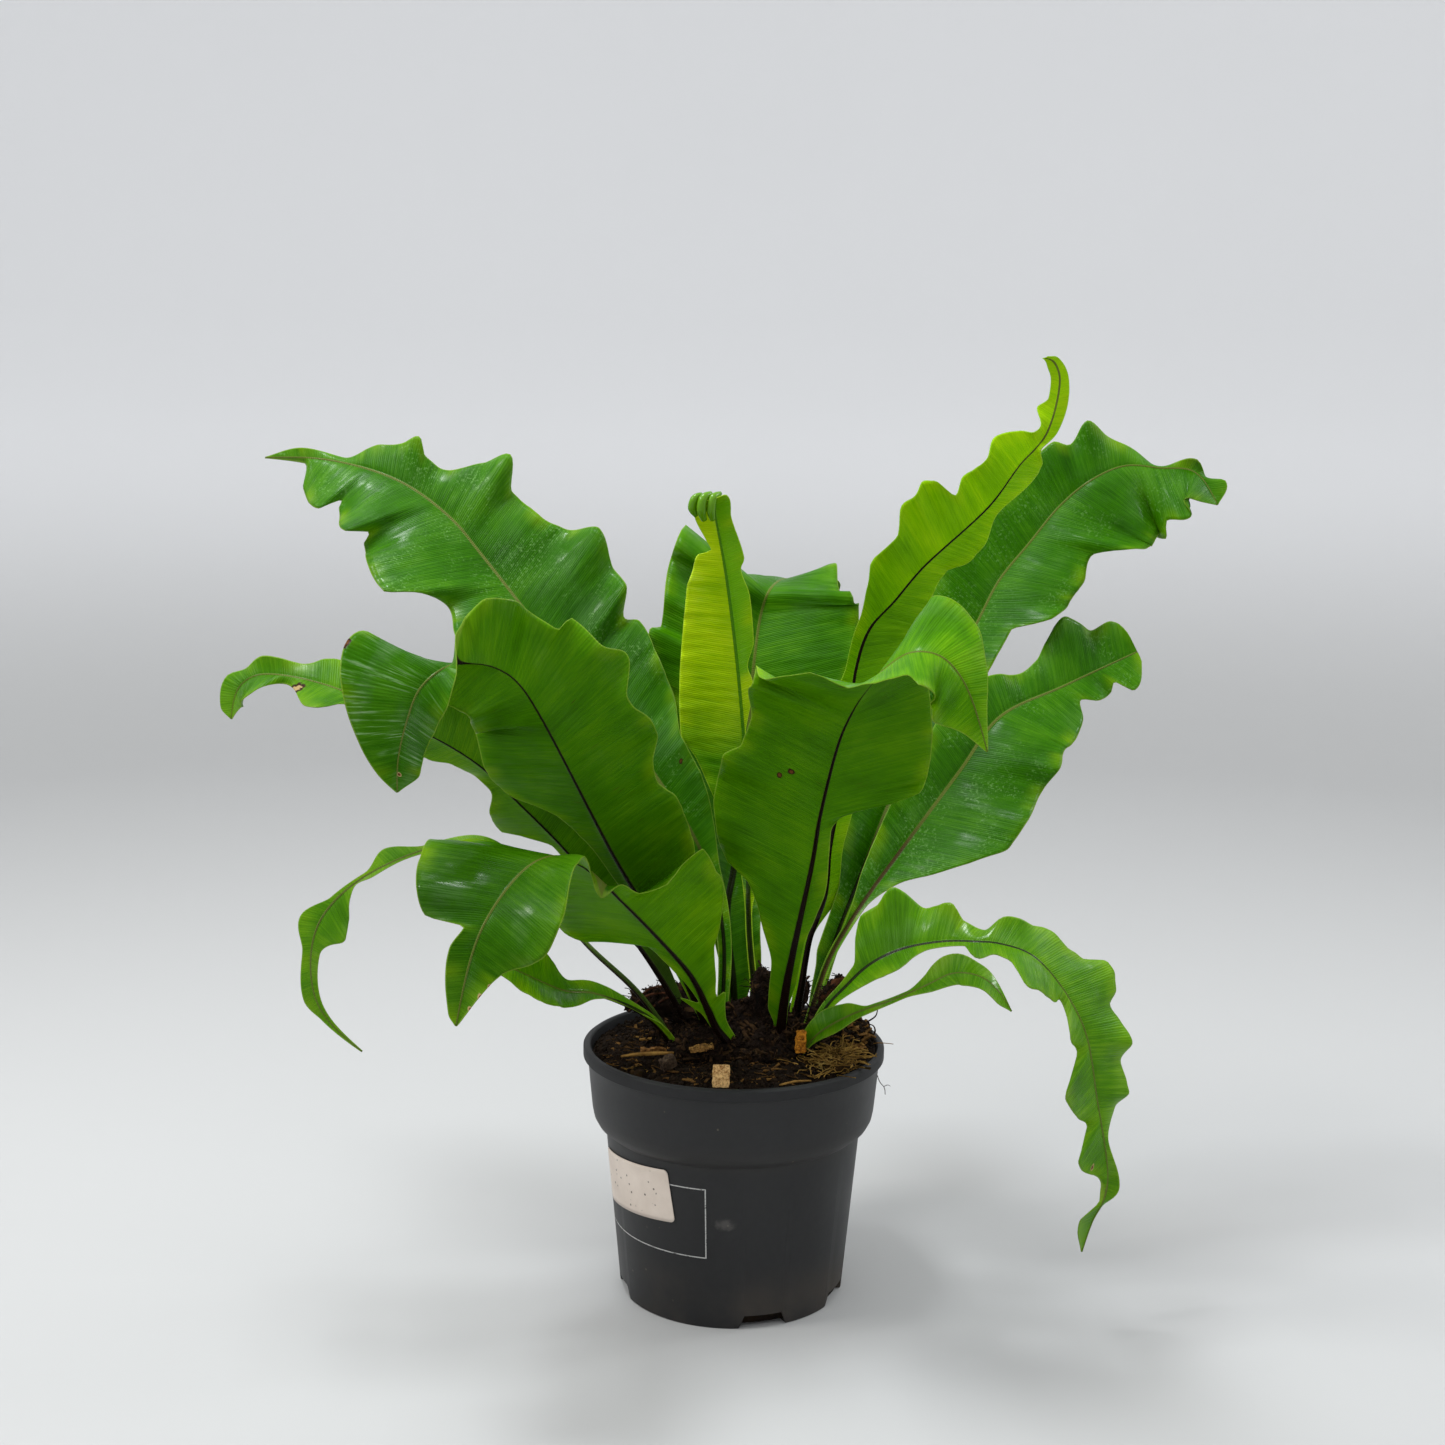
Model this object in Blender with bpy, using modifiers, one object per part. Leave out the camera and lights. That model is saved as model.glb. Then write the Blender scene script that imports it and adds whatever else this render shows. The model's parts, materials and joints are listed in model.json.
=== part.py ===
"""Bird's nest fern in a plain nursery pot.

Every piece is a closed solid at its real size: the pot, the soil, the crown
that the fronds grow from, fourteen fronds, a few wood chips, a tuft of coir
and a blank sticker. Lists of places and sizes are in millimetres.
"""

import math
import random

import bmesh
import bpy
import numpy as np

MM = 0.001
GAP = 0.3  # clearance between pieces that touch
SEED = 7

# Pot: half sections as (radius, height), both running from the top down.
STEPS = 48
FLOOR_TOP = 1.8
POT_OUTSIDE = [(81.6, 142.3), (83.6, 142.3), (85.0, 141.3), (85.0, 136.2), (84.2, 135.4),
               (82.4, 135.2), (81.4, 123.0), (79.8, 106.5), (78.9, 102.0), (77.0, 98.4),
               (72.2, 94.5), (72.0, 93.0), (63.5, 0.8), (62.8, 0.0)]
POT_INSIDE = [(80.9, 141.5), (78.2, 107.0), (76.4, 100.6), (70.6, 96.0), (61.9, 2.8),
              (60.4, FLOOR_TOP)]
NOTCHES = [(16, 13), (68, 13), (120, 13), (172, 13), (232, 13), (285, 13)]  # middle, half width
NOTCH_HEIGHT = 7.6
NOTCH_INNER = 56.0
NOTCH_OUTER = 70.0
NOTCH_SLOPE = 3.4  # degrees that a notch narrows towards its top
NOTCH_PARTS = 6

# Soil: its top is highest in the middle and a little higher on the right
SOIL_RADIUS = 80.5
SOIL_EDGE = 138.5
SOIL_TILT = 2.5
SOIL_RISE = 6.0
SOIL_RINGS = [76, 68, 60, 51, 40, 24]
SOIL_ROUGH, SOIL_EDGE_ROUGH = 1.1, 0.8
WALL_GAP = 1.4 * GAP  # the soil's clearance from the flat sides of the round wall

# Crown: an oval mound with old stubs
CROWN_MIDDLE = (8.0, -7.0)
CROWN_SIZE = (56.0, 34.0)
CROWN_TOP, CROWN_EDGE, CROWN_FLOOR = 169.0, 145.0, 124.0
CROWN_POWER = 0.85
CROWN_FOOT = 0.93  # size of its flat foot, as a share of its width
CROWN_LOBES = [(3, 0.045, 0.6), (7, 0.03, 0)]  # waves round its outline: count, height, turn
CROWN_RINGS = [0.25, 0.45, 0.65, 0.82, 0.94, 1.0]
CROWN_STEPS = 26
CROWN_ROUGH = 1.3
POCKET_GAP = 1.3 * GAP
POCKET_ABOVE = 10.0

# Blade: how far its veins sweep forward, its thickness, and the rib below it
SWEEP = math.radians(18)
BLADE = 0.8
RIB_HALF, RIB_WIDEST = 2.2, 0.45  # half width, and the most that it takes of a narrow blade
RIB_DEEP, RIB_SHALLOW = 3.4, 0.6
RIB_FADE, RIB_FADE_POWER = 0.75, 0.8
MID_BLADE = 0.6  # where each half has its middle row of points
WAVE_POWER = 1.7  # how closely a wave keeps to the margin
NEAREST, FARTHEST = 0.014, 0.066  # shares of the length between two rows of points
STIPE_SHARE = 0.12  # share of the length that stands in the socket
RIB_SAMPLES = 600
SMALL_STEP = 0.001

# Sticker on the pot: middle angle, middle height, size, corner and slant
LABEL_ANGLE, LABEL_HEIGHT = -52.5, 72.5
LABEL_SIZE = (61.0, 30.0)
LABEL_CORNER, LABEL_THICK, LABEL_SLANT = 2.6, 0.5, math.radians(4.7)
LABEL_BENDS = (0, 30, 60, 90)
LABEL_STEP = 8.0

# Pieces of wood: middle, length, width, thickness, then the turn and pitch in degrees
CHIPS = {
    "wood_chip_pale": ((-7, -72, 146.0), (12, 10.5, 2.6), 86, 68),
    "wood_chip_orange": ((36.5, -37, 154.0), (12, 6.5, 2.6), 80, 82),
    "wood_chip_left": ((-42, -25, 144.6), (20, 3.8, 2.6), 4, 3),
    "wood_chip_middle": ((-18, -35, 149.4), (13, 4.6, 2.6), 12, 6),
    "bark_lump": ((-36, -45, 143.8), (8, 6.5, 6), 35, 12),
}
CHIP_PARTS = 5
CHIP_END, CHIP_FLAT = 0.8, 0.8  # width and thickness at its ends, as shares of the middle's
CHIP_UNEVEN = 0.85
COIR_MIDDLE = (56.0, -36.0, 142.0)
COIR_SIZE = (11.0, 15.5, 6.5)
COIR_LEVELS = (-0.75, -0.35, 0.05, 0.45, 0.8)
COIR_ENDS = (-0.9, 0.92)
COIR_STEPS = 18
COIR_LUMPS = (-0.1, 0.06)
COIR_GAP = 2.4  # how many times GAP its bed is wider, for its slanted sides

# Old stubs on the crown: route, then the radius at each of its points
STUB_STEPS = 7
STUB_TIP = 0.4  # how far its end bulges, as a share of its radius there
STUBS = [
    ([(14, -10, 150), (14, -10, 168), (17, -10, 184)], [6.0, 5.2, 4.6]),
    ([(45, -17, 145), (46, -17, 164), (50, -17, 174), (56, -16, 181), (61, -15, 183)],
     [3.4, 3.0, 2.9, 2.8, 2.0]),
    ([(-26, 6, 150), (-38, 15, 163), (-52, 19, 164), (-61, 17, 155)], [2.4, 2.0, 1.7, 1.4]),
    ([(-22, 12, 150), (-30, 24, 160), (-42, 30, 162), (-54, 30, 154)], [2.2, 1.9, 1.7, 1.4]),
    ([(33, 11, 144), (38, 20, 164), (40, 24, 172)], [3.4, 3.0, 2.4]),
    ([(-8, 4, 148), (-24, 7, 158), (-40, 9, 162), (-54, 10, 158)], [12.0, 12.5, 9.5, 5.0]),
]

# Fronds. "rib" is the route of the midrib. "heading" and "roll" turn the blade
# about it, "fold" lifts both halves into a shallow V and "cup" hollows them; each
# is (share of the length, degrees). "left" and "right" list the crests of the
# waved margins as (share of the length, reach from the rib, lift of the wave).
FRONDS = {
    "frond_high_left": dict(
        heading=[(0, 90), (0.3, 130), (0.6, 160), (1, 170)],
        roll=[(0, 0), (0.3, 25), (0.6, 50), (1, 60)],
        fold=[(0, 40), (0.3, 22), (0.7, 12), (1, 6)], cup=0.04,
        rib=[(-8, 5, 146), (-7, 12, 204), (-19, 22, 245), (-47, 34, 289), (-80, 52, 326),
             (-109, 62, 361), (-152, 80, 412), (-170, 86, 432), (-201, 94, 453),
             (-244, 102, 465), (-283, 104, 466)],
        left=[(0, 3, 0), (0.12, 4, 0), (0.3, 32, 0), (0.42, 46, 4), (0.5, 50, -3), (0.56, 50, 3),
              (0.62, 39, -4), (0.64, 53, 5), (0.65, 68, 4), (0.76, 50, -7), (0.77, 43, -2),
              (0.78, 54, 6), (0.85, 34, -2), (0.86, 27, -2), (0.87, 39, 2), (0.93, 21, -5),
              (0.95, 2, -4), (1, 0.5, 0)],
        right=[(0, 3, 0), (0.18, 6, 0), (0.29, 22, 0), (0.33, 24, 2), (0.37, 38, -3),
               (0.41, 43, 4), (0.46, 49, 0), (0.48, 45, -5), (0.5, 54, 5), (0.53, 58, -4),
               (0.57, 63, 6), (0.61, 51, -4), (0.65, 42, 0), (0.7, 40, -5), (0.72, 50, 7),
               (0.74, 39, -3), (0.78, 22, -5), (0.8, 21, 1), (0.81, 28, 6), (0.83, 22, 0),
               (0.86, 17, -2), (0.9, 5, -3), (0.95, 6, 1), (1, 0.5, 0)],
    ),
    "frond_front_left": dict(
        heading=[(0, -92)],
        roll=[(0, 0), (0.5, 0), (0.62, -22), (0.69, -50), (0.745, -50), (0.8, 0), (0.86, 30),
              (1, 35)],
        fold=[(0, 40), (0.3, 14), (0.6, 4), (1, 0)], cup=0.02,
        rib=[(-12, -7, 146), (-35, -30, 203), (-62, -56, 256), (-108, -110, 357),
             (-119, -122, 368), (-131, -136, 372), (-140, -150, 371), (-150, -160, 362),
             (-155, -166, 348), (-159, -168, 330), (-160, -166, 314)],
        left=[(0, 3, 0), (0.1, 5, 0), (0.3, 42, 0), (0.38, 46, -2), (0.42, 40, 0),
              (0.46, 44, -3), (0.48, 50, 3), (0.51, 52, 0), (0.56, 46, -3), (0.59, 55, 4),
              (0.63, 46, -2), (0.66, 44, 1), (0.67, 34, -3), (0.7, 33, 4), (0.72, 35, 1),
              (0.75, 31, 10), (0.77, 12, 18), (0.8, 1, 14), (0.82, 11, 1), (0.85, 17, 3),
              (0.89, 15, 2), (0.94, 14, -2), (0.97, 12, 0), (1, 0.5, 0)],
        right=[(0, 3, 0), (0.35, 9, 0), (0.43, 19, 0), (0.47, 43, 2), (0.51, 44, -2),
               (0.58, 38, 10), (0.595, 35, 22), (0.61, 34, 0), (0.82, 26, 1), (0.83, 38, 2),
               (0.85, 41, 0), (0.89, 32, 0), (1, 0.5, 0)],
    ),
    "frond_mid_left": dict(
        heading=[(0, -90), (0.3, -150), (0.6, -170), (1, -170)],
        roll=[(0, 0), (0.3, -45), (0.6, -60), (0.66, -40), (0.74, 30), (1, 45)],
        fold=[(0, 40), (0.4, 14), (1, 4)], cup=0.02,
        rib=[(-24, -2, 148), (-39, -5, 176), (-54, -14, 202), (-90, -32, 256), (-118, -46, 289),
             (-136, -52, 308), (-161, -58, 325), (-184, -62, 336), (-207, -64, 349),
             (-238, -62, 356), (-252, -60, 355), (-261, -58, 348), (-265, -58, 332)],
        left=[(0, 2, 0), (0.05, 4, 0), (0.15, 9, 0), (0.35, 28, 0), (0.5, 38, 0), (0.6, 34, 2),
              (0.68, 24, 0), (0.73, 14, 0), (0.765, 13, 1), (0.78, 29, 2), (0.87, 4, -3),
              (0.89, 11, 0), (0.905, 20, 1), (1, 0.5, 0)],
        right=[(0, 1.5, 0), (0.15, 1.5, 0), (0.22, 8, 0), (0.38, 6, 0), (0.4, 16, 0),
               (0.415, 30, 2), (0.47, 21, -2), (0.52, 7, -3), (0.54, 12, 3), (0.58, 12, 0),
               (0.61, 19, 0), (0.67, 24, 0), (0.8, 20, 0), (0.85, 10, 0), (0.9, 9, 4),
               (0.93, 9, -2), (0.95, 12, 0), (0.98, 9, 0), (1, 0.5, 0)],
    ),
    "frond_low_left": dict(
        heading=[(0, -95)], roll=[(0, 0)],
        fold=[(0, 40), (0.3, 16), (0.7, 4), (1, -4)], cup=0.02,
        rib=[(1, -26, 138), (-2, -30, 149), (-10, -34, 161), (-14, -38, 171), (-21, -46, 189),
             (-27, -52, 200), (-68, -100, 257), (-78, -118, 270), (-90, -136, 278),
             (-102, -152, 275), (-120, -176, 251), (-131, -184, 207)],
        left=[(0, 3, 0), (0.06, 5, 0), (0.105, 8, 1), (0.125, 10, 4), (0.14, 7, -1),
              (0.17, 10, 0), (0.22, 18, 0), (0.25, 29, 0), (0.34, 49, 1), (0.405, 50, 7),
              (0.42, 41, 3), (0.435, 30, -8), (0.45, 14, -5), (0.48, 8, -1), (0.51, 1, -10),
              (0.77, 39, 3), (0.81, 37, 0), (0.89, 17, 0), (0.94, 9, 4), (1, 0.5, 0)],
        right=[(0, 3, 0), (0.06, 3, 0), (0.105, 5, 0), (0.122, 17, 1), (0.138, 4, 0),
               (0.17, 7, 1), (0.22, 12, 1), (0.26, 15, 2), (0.275, 24, 3), (0.29, 49, -7),
               (0.305, 57, -5), (0.5, 36, 0), (0.625, 49, 5), (0.64, 65, -1), (0.73, 52, -1),
               (0.8, 39, 3), (0.83, 31, -5), (0.85, 8, 2), (0.88, 11, 3), (0.98, 5, 0),
               (1, 0.5, 0)],
    ),
    "frond_small_left": dict(
        heading=[(0, 200)], roll=[(0, 0), (0.5, 30), (1, 30)],
        fold=[(0, 40), (0.5, 10), (1, 4)], cup=0.02,
        rib=[(-33, -17, 144), (-47, -24, 163), (-76, -44, 182), (-91, -56, 187),
             (-120, -80, 207), (-132, -90, 212)],
        left=[(0, 3, 0), (0.12, 4, 0), (0.22, 1, -1), (0.38, 1, 0), (0.43, 4, 0), (0.7, 20, 1),
              (0.79, 14, -2), (0.91, 9, 0), (1, 0.5, 0)],
        right=[(0, 3, 0), (0.19, 3, 0), (0.44, 8, 0), (0.53, 8, 0), (0.65, 16, 4), (0.77, 21, 2),
               (1, 0.5, 0)],
    ),
    "frond_trailing_left": dict(
        heading=[(0, 185)],
        roll=[(0, 0), (0.3, 0), (0.45, 15), (0.6, 40), (0.8, 75), (1, 75)],
        fold=[(0, 30), (0.5, 8), (1, 4)], cup=0,
        rib=[(-33, -7, 142), (-53, -10, 172), (-82, -16, 202), (-117, -30, 249),
             (-141, -38, 264), (-194, -56, 250), (-221, -62, 223), (-223, -60, 181),
             (-200, -56, 152)],
        left=[(0, 2, 0), (0.5, 5, 0), (0.6, 2, 0), (0.65, 3, 0), (0.68, 1, 0), (0.7, 7, 0),
              (0.715, 14, -3), (0.74, 19, -1), (0.81, 5, -1), (1, 0.5, 0)],
        right=[(0, 2, 0), (0.3, 3, 0), (0.45, 6, 0), (0.56, 3, 0), (0.61, 10, 0), (0.66, 2, 0),
               (0.72, 3, 0), (0.76, 11, 0), (0.81, 5, 0), (0.88, 7, 0), (0.92, 3, 0),
               (1, 0.5, 0)],
    ),
    "frond_young_centre": dict(
        heading=[(0, 90)], roll=[(0, 0), (0.5, -8), (1, 0)],
        fold=[(0, 40), (0.3, 16), (0.6, 10), (1, 10)], cup=0.02,
        rib=[(13, 5, 150), (11, 6, 174), (8, 8, 204), (6, 16, 278), (1, 18, 341), (-7, 12, 403),
             (-13, 4, 435), (-15, -4, 445), (-20, -12, 447)],
        left=[(0, 2, 0), (0.2, 2, 0), (0.32, 7, 0), (0.4, 20, 0), (0.47, 30, 0), (0.51, 38, 0),
              (0.79, 24, 0), (0.83, 18, 0), (0.88, 8, 0), (0.94, 12, 0), (0.98, 10, -3),
              (1, 3, 0)],
        right=[(0, 2, 0), (0.2, 2, 0), (0.35, 14, 0), (0.52, 1, 0), (0.62, 8, 0), (0.65, 6, 0),
               (0.69, 11, 0), (0.77, 12, 0), (0.825, 9, 0), (0.84, 12, 0), (0.93, 9, 0),
               (0.97, 10, -3), (1, 3, 0)],
    ),
    "frond_young_right": dict(
        heading=[(0, -80)], roll=[(0, 0)],
        fold=[(0, 40), (0.3, 16), (0.6, 8), (1, 6)], cup=0.02,
        rib=[(33.5, 2, 149), (38, 4, 175), (40, 6, 188), (42.5, 7.5, 201), (46.5, 9.5, 212),
             (50.5, 11.5, 224), (52, 13, 235), (53, 15, 250), (57.5, 17, 276), (62, 18, 307),
             (66, 16, 354), (73, 12, 377), (86, 8, 393), (100, 4, 411), (135, -4, 446),
             (150, -8, 468), (163, -10, 484), (169, -12, 513), (165, -16, 522), (160, -20, 524)],
        left=[(0, 2, 0), (0.12, 1.5, 0), (0.14, 2.5, 0), (0.155, 4, 0), (0.175, 5, 0),
              (0.25, 5, 0), (0.42, 18, 0), (0.56, 29, 0), (0.6, 21, 0), (0.66, 16, 3),
              (0.69, 20, 0), (0.72, 18, 0), (0.77, 8, 0), (0.82, 15, 3), (0.85, 11, 0),
              (0.87, 2, -3), (0.89, 6, 0), (0.92, 7, 0), (1, 2, 0)],
        right=[(0, 3, 0), (0.2, 5, 0), (0.42, 14, 0), (0.49, 6, 0), (0.55, 8, 0), (0.58, 18, 1),
               (0.6, 24, 3), (0.65, 25, -3), (0.67, 34, 3), (0.69, 36, -2), (0.705, 37, 3),
               (0.72, 35, -2), (0.74, 19, 0), (0.76, 22, 3), (0.81, 19, -3), (0.83, 20, 3),
               (0.86, 12, 3), (0.875, 8, -3), (0.89, 6, -3), (0.91, 9, 3), (0.93, 5, 0),
               (0.97, 5, 0), (1, 2, 0)],
    ),
    "frond_high_right": dict(
        heading=[(0, 90), (0.3, 50), (0.6, 20), (1, 0)],
        roll=[(0, 0), (0.3, -25), (0.6, -50), (0.9, -60), (1, -60)],
        fold=[(0, 40), (0.3, 20), (0.7, 10), (1, 4)], cup=0.03,
        rib=[(43, 0, 146), (53, 6, 188), (76, 26, 245), (89, 42, 274), (107, 58, 313),
             (125, 72, 346), (142, 82, 375), (155, 89, 399), (173, 94, 421), (191, 98, 443),
             (208, 96, 458), (229, 100, 467), (250, 100, 466), (269, 94, 464), (281, 84, 445)],
        left=[(0, 3, 0), (0.05, 5, 0), (0.08, 6, 0), (0.1, 8, 0), (0.125, 8, 0), (0.175, 9, 0),
              (0.2, 13, 0), (0.24, 19, 0), (0.28, 26, 0), (0.4, 31, 0), (0.55, 34, 0),
              (0.69, 31, 0), (0.78, 33, 0), (0.795, 27, -4), (0.82, 32, 6), (0.84, 21, 0),
              (0.87, 11, -4), (0.9, 4, -5), (0.94, 5, 5), (0.955, 6, -4), (0.97, 11, 3),
              (1, 0.5, 0)],
        right=[(0, 3, 0), (0.15, 4, 0), (0.3, 14, 0), (0.4, 24, 0), (0.56, 23, 3), (0.58, 44, 1),
               (0.6, 48, -4), (0.66, 45, -1), (0.7, 37, -3), (0.715, 55, 2), (0.73, 62, -5),
               (0.865, 43, -19), (0.88, 48, -8), (0.89, 37, -3), (0.905, 40, 3), (0.95, 25, 0),
               (0.98, 14, 0), (1, 0.5, 0)],
    ),
    "frond_mid_right": dict(
        heading=[(0, 90), (0.3, 50), (0.6, 25), (1, 5)],
        roll=[(0, 0), (0.3, -25), (0.6, -50), (0.9, -60), (1, -60)],
        fold=[(0, 40), (0.3, 20), (0.7, 10), (1, 4)], cup=0.03,
        rib=[(39.5, -12, 150), (44, -10, 166), (53, -5, 192), (64, 0, 211), (76, 6, 228),
             (93, 14, 250), (128, 32, 294), (151, 44, 323), (191, 60, 340), (235, 72, 359)],
        left=[(0, 2, 0), (0.2, 2, 0), (0.235, 4, 0), (0.3, 11, 0), (0.37, 17, 0), (0.46, 23, 0),
              (0.63, 28, 0), (0.7, 24, 0), (0.76, 18, -3), (0.79, 21, 0), (0.82, 30, -3),
              (0.86, 37, 6), (0.9, 30, 0), (0.92, 25, -3), (0.95, 24, 3), (0.97, 22, 1),
              (0.985, 12, 4), (1, 0.5, 0)],
        right=[(0, 2, 0), (0.25, 3, 0), (0.31, 11, 0), (0.35, 28, 0), (0.4, 46, 0),
               (0.43, 54, 0), (0.49, 53, 3), (0.57, 48, -3), (0.6, 51, 3), (0.64, 47, 0),
               (0.74, 38, 3), (0.81, 25, 0), (0.84, 13, 0), (0.86, 19, 2), (0.9, 16, -4),
               (0.915, 12, 1), (0.93, 22, 0), (0.99, 7, 0), (1, 0.5, 0)],
    ),
    "frond_front_right": dict(
        heading=[(0, -90), (0.55, -85), (0.7, -50), (0.8, -20), (1, -10)],
        roll=[(0, 0), (0.6, 0), (0.75, -20), (1, -60)],
        fold=[(0, 40), (0.3, 14), (0.7, 4), (1, -6)], cup=0.02,
        rib=[(25, -15, 139), (28, -26, 180), (40, -56, 260), (43, -66, 286), (51, -86, 329),
             (56, -98, 345), (61, -112, 357), (70, -124, 370), (82, -132, 379), (95, -136, 378),
             (106, -138, 367), (119, -138, 332)],
        left=[(0, 3, 0), (0.08, 3, 0), (0.13, 6, 0), (0.2, 6, 0), (0.25, 9, 0), (0.3, 11.5, 0),
              (0.37, 9, 0), (0.415, 8, 0), (0.425, 17, 8), (0.44, 38, -3), (0.455, 53, -6),
              (0.47, 56, 0), (0.63, 45, 1), (0.7, 35, 1), (0.73, 48, 0), (0.81, 43, 0),
              (0.87, 22, 0), (0.94, 7, 0), (1, 0.5, 0)],
        right=[(0, 3, 0), (0.05, 4, 0), (0.07, 8, 0), (0.15, 10, 0), (0.2, 18, 0), (0.27, 32, 0),
               (0.285, 45, 1), (0.34, 55, -3), (0.39, 58, 0), (0.43, 57, 3), (0.47, 58, -2),
               (0.5, 49, 2), (0.55, 48, 0), (0.62, 57, 2), (0.635, 51, 18), (0.7, 53, 16),
               (0.715, 38, 16), (0.73, 29, 2), (0.79, 25, 0), (0.81, 36, 3), (0.86, 24, -5),
               (0.88, 29, 0), (0.96, 9, 0), (1, 0.5, 0)],
    ),
    "frond_drooping_right": dict(
        heading=[(0, 15)],
        roll=[(0, -20), (0.2, -35), (0.4, -30), (0.5, -40), (0.65, -68), (1, -75)],
        fold=[(0, 40), (0.3, 14), (0.7, 6), (1, 4)], cup=0.02,
        rib=[(40, -22, 141), (50, -24, 168), (61, -23, 181), (74, -26, 195), (90, -31, 205),
             (111, -40, 212), (127, -50, 215), (141, -54, 215), (159, -58, 209), (184, -62, 176),
             (195, -60, 131), (203, -56, 79), (196, -55, 60), (191, -55, 43)],
        left=[(0, 3, 0), (0.11, 3, 0), (0.165, 5, 0), (0.2, 25, 0), (0.22, 26, 2), (0.24, 32, 4),
              (0.275, 22, -3), (0.32, 20, 4), (0.34, 13, -2), (0.38, 10, -3), (0.41, 16, 4),
              (0.44, 19, 0), (0.46, 25, -2), (0.51, 28, 0), (0.53, 38, 4), (0.57, 34, 0),
              (0.59, 27, -4), (0.64, 26, 4), (0.67, 23, -3), (0.72, 20, 3), (0.75, 14, -3),
              (0.81, 3, 0), (0.88, 6, 3), (0.92, 3, -2), (1, 0.5, 0)],
        right=[(0, 3, 0), (0.1, 6, 0), (0.22, 15, 0), (0.3, 5, 0), (0.36, 4, 0), (0.38, 19, 3),
               (0.4, 12, 0), (0.425, 15, 0), (0.44, 37, 1), (0.52, 20, 0), (0.55, 5, -3),
               (0.59, 17, 1), (0.64, 7, -4), (0.66, 29, 2), (0.73, 17, -1), (0.765, 8, -4),
               (0.78, 26, 3), (0.89, 1, -4), (0.91, 1, -2), (0.93, 14, 3), (1, 0.5, 0)],
    ),
    "frond_small_right": dict(
        heading=[(0, 5)], roll=[(0, -20), (0.5, -40), (1, -30)],
        fold=[(0, 40), (0.4, 10), (1, 0)], cup=0.02,
        rib=[(36, -27, 139), (44, -35, 156), (60, -49, 172), (84, -71, 189), (99, -80, 199),
             (114, -80, 206), (129, -88, 205), (142, -94, 190)],
        left=[(0, 3, 0), (0.1, 6, 0), (0.2, 9, 0), (0.3, 7, 0), (0.4, 2, -1), (0.57, 2, -1),
              (0.75, 10, 3), (0.81, 8, 0), (1, 0.5, 0)],
        right=[(0, 3, 0), (0.1, 5, 0), (0.22, 8, 0), (0.36, 4, 0), (0.56, 2, 0), (0.76, 9, 0),
               (0.92, 9, 0), (1, 0.5, 0)],
    ),
    "frond_back": dict(
        heading=[(0, 90)], roll=[(0, 0), (0.5, -5), (1, -5)],
        fold=[(0, 40), (0.3, 18), (0.7, 8), (1, 4)], cup=0.03,
        rib=[(1, 14, 147), (-1, 19, 176), (-4.5, 26, 201), (-4, 32, 216), (-1, 40, 232),
             (3, 54, 271), (7, 69, 310), (10, 80, 351), (14, 91, 378), (18, 92, 390),
             (32, 134, 395), (43, 152, 384), (54, 160, 366)],
        left=[(0, 3, 0), (0.1, 7, 0), (0.17, 10, 0), (0.25, 24, 0), (0.4, 42, 0), (0.5, 50, 0),
              (0.54, 68, 0), (0.585, 67, 4), (0.6, 60, -4), (0.64, 61, 4), (0.8, 66, -26),
              (0.82, 36, -12), (0.9, 26, -6), (1, 0.5, 0)],
        right=[(0, 3, 0), (0.05, 9, 0), (0.08, 17, 0), (0.14, 20, 0), (0.3, 30, 0),
               (0.45, 46, 0), (0.52, 61, 0), (0.61, 62, 0), (0.69, 58, 5), (0.735, 50, 4),
               (0.75, 42, -4), (0.82, 31, 10), (0.84, 23, 7), (0.9, 26, 0), (1, 0.5, 0)],
    ),
}

# Colour, roughness and metallic value of each piece
LOOKS = {
    "pot": ((0.045, 0.046, 0.05), 0.6, 0.0),
    "soil": ((0.028, 0.019, 0.013), 0.95, 0.0),
    "crown": ((0.045, 0.026, 0.016), 0.9, 0.0),
    "label": ((0.72, 0.7, 0.6), 0.6, 0.0),
    "coir": ((0.16, 0.085, 0.045), 0.9, 0.0),
    "wood_chip_pale": ((0.45, 0.34, 0.2), 0.8, 0.0),
    "wood_chip_orange": ((0.36, 0.15, 0.05), 0.8, 0.0),
    "wood_chip_left": ((0.26, 0.15, 0.08), 0.85, 0.0),
    "wood_chip_middle": ((0.22, 0.12, 0.06), 0.85, 0.0),
    "bark_lump": ((0.13, 0.1, 0.08), 0.9, 0.0),
    "frond": ((0.09, 0.19, 0.025), 0.42, 0.0),
    "young": ((0.2, 0.33, 0.04), 0.36, 0.0),
}


def clear_scene():
    for obj in list(bpy.data.objects):
        bpy.data.objects.remove(obj, do_unlink=True)


def new_collection(name):
    collection = bpy.data.collections.new(name)
    bpy.context.scene.collection.children.link(collection)
    return collection


def new_material(name, look):
    colour, roughness, metallic = LOOKS[look]
    material = bpy.data.materials.new(name)
    material.use_nodes = True
    shader = material.node_tree.nodes["Principled BSDF"]
    shader.inputs["Base Color"].default_value = (*colour, 1)
    shader.inputs["Roughness"].default_value = roughness
    shader.inputs["Metallic"].default_value = metallic
    material.diffuse_color = (*colour, 1)
    return material


def new_object(name, points, faces, collection, smooth=True):
    """A closed mesh object, facing outwards, from points in millimetres."""
    mesh = bpy.data.meshes.new(name)
    mesh.from_pydata([tuple(float(c) * MM for c in p) for p in points], [], faces)
    solid = bmesh.new()
    solid.from_mesh(mesh)
    if solid.calc_volume(signed=True) < 0:
        bmesh.ops.reverse_faces(solid, faces=solid.faces)
    solid.to_mesh(mesh)
    solid.free()
    mesh.shade_smooth() if smooth else mesh.shade_flat()
    obj = bpy.data.objects.new(name, mesh)
    collection.objects.link(obj)
    return obj


def new_cutter(name, points, faces, collection):
    obj = new_object(name, points, faces, collection, smooth=False)
    obj.hide_render = True
    obj.display_type = "WIRE"
    return obj


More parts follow.
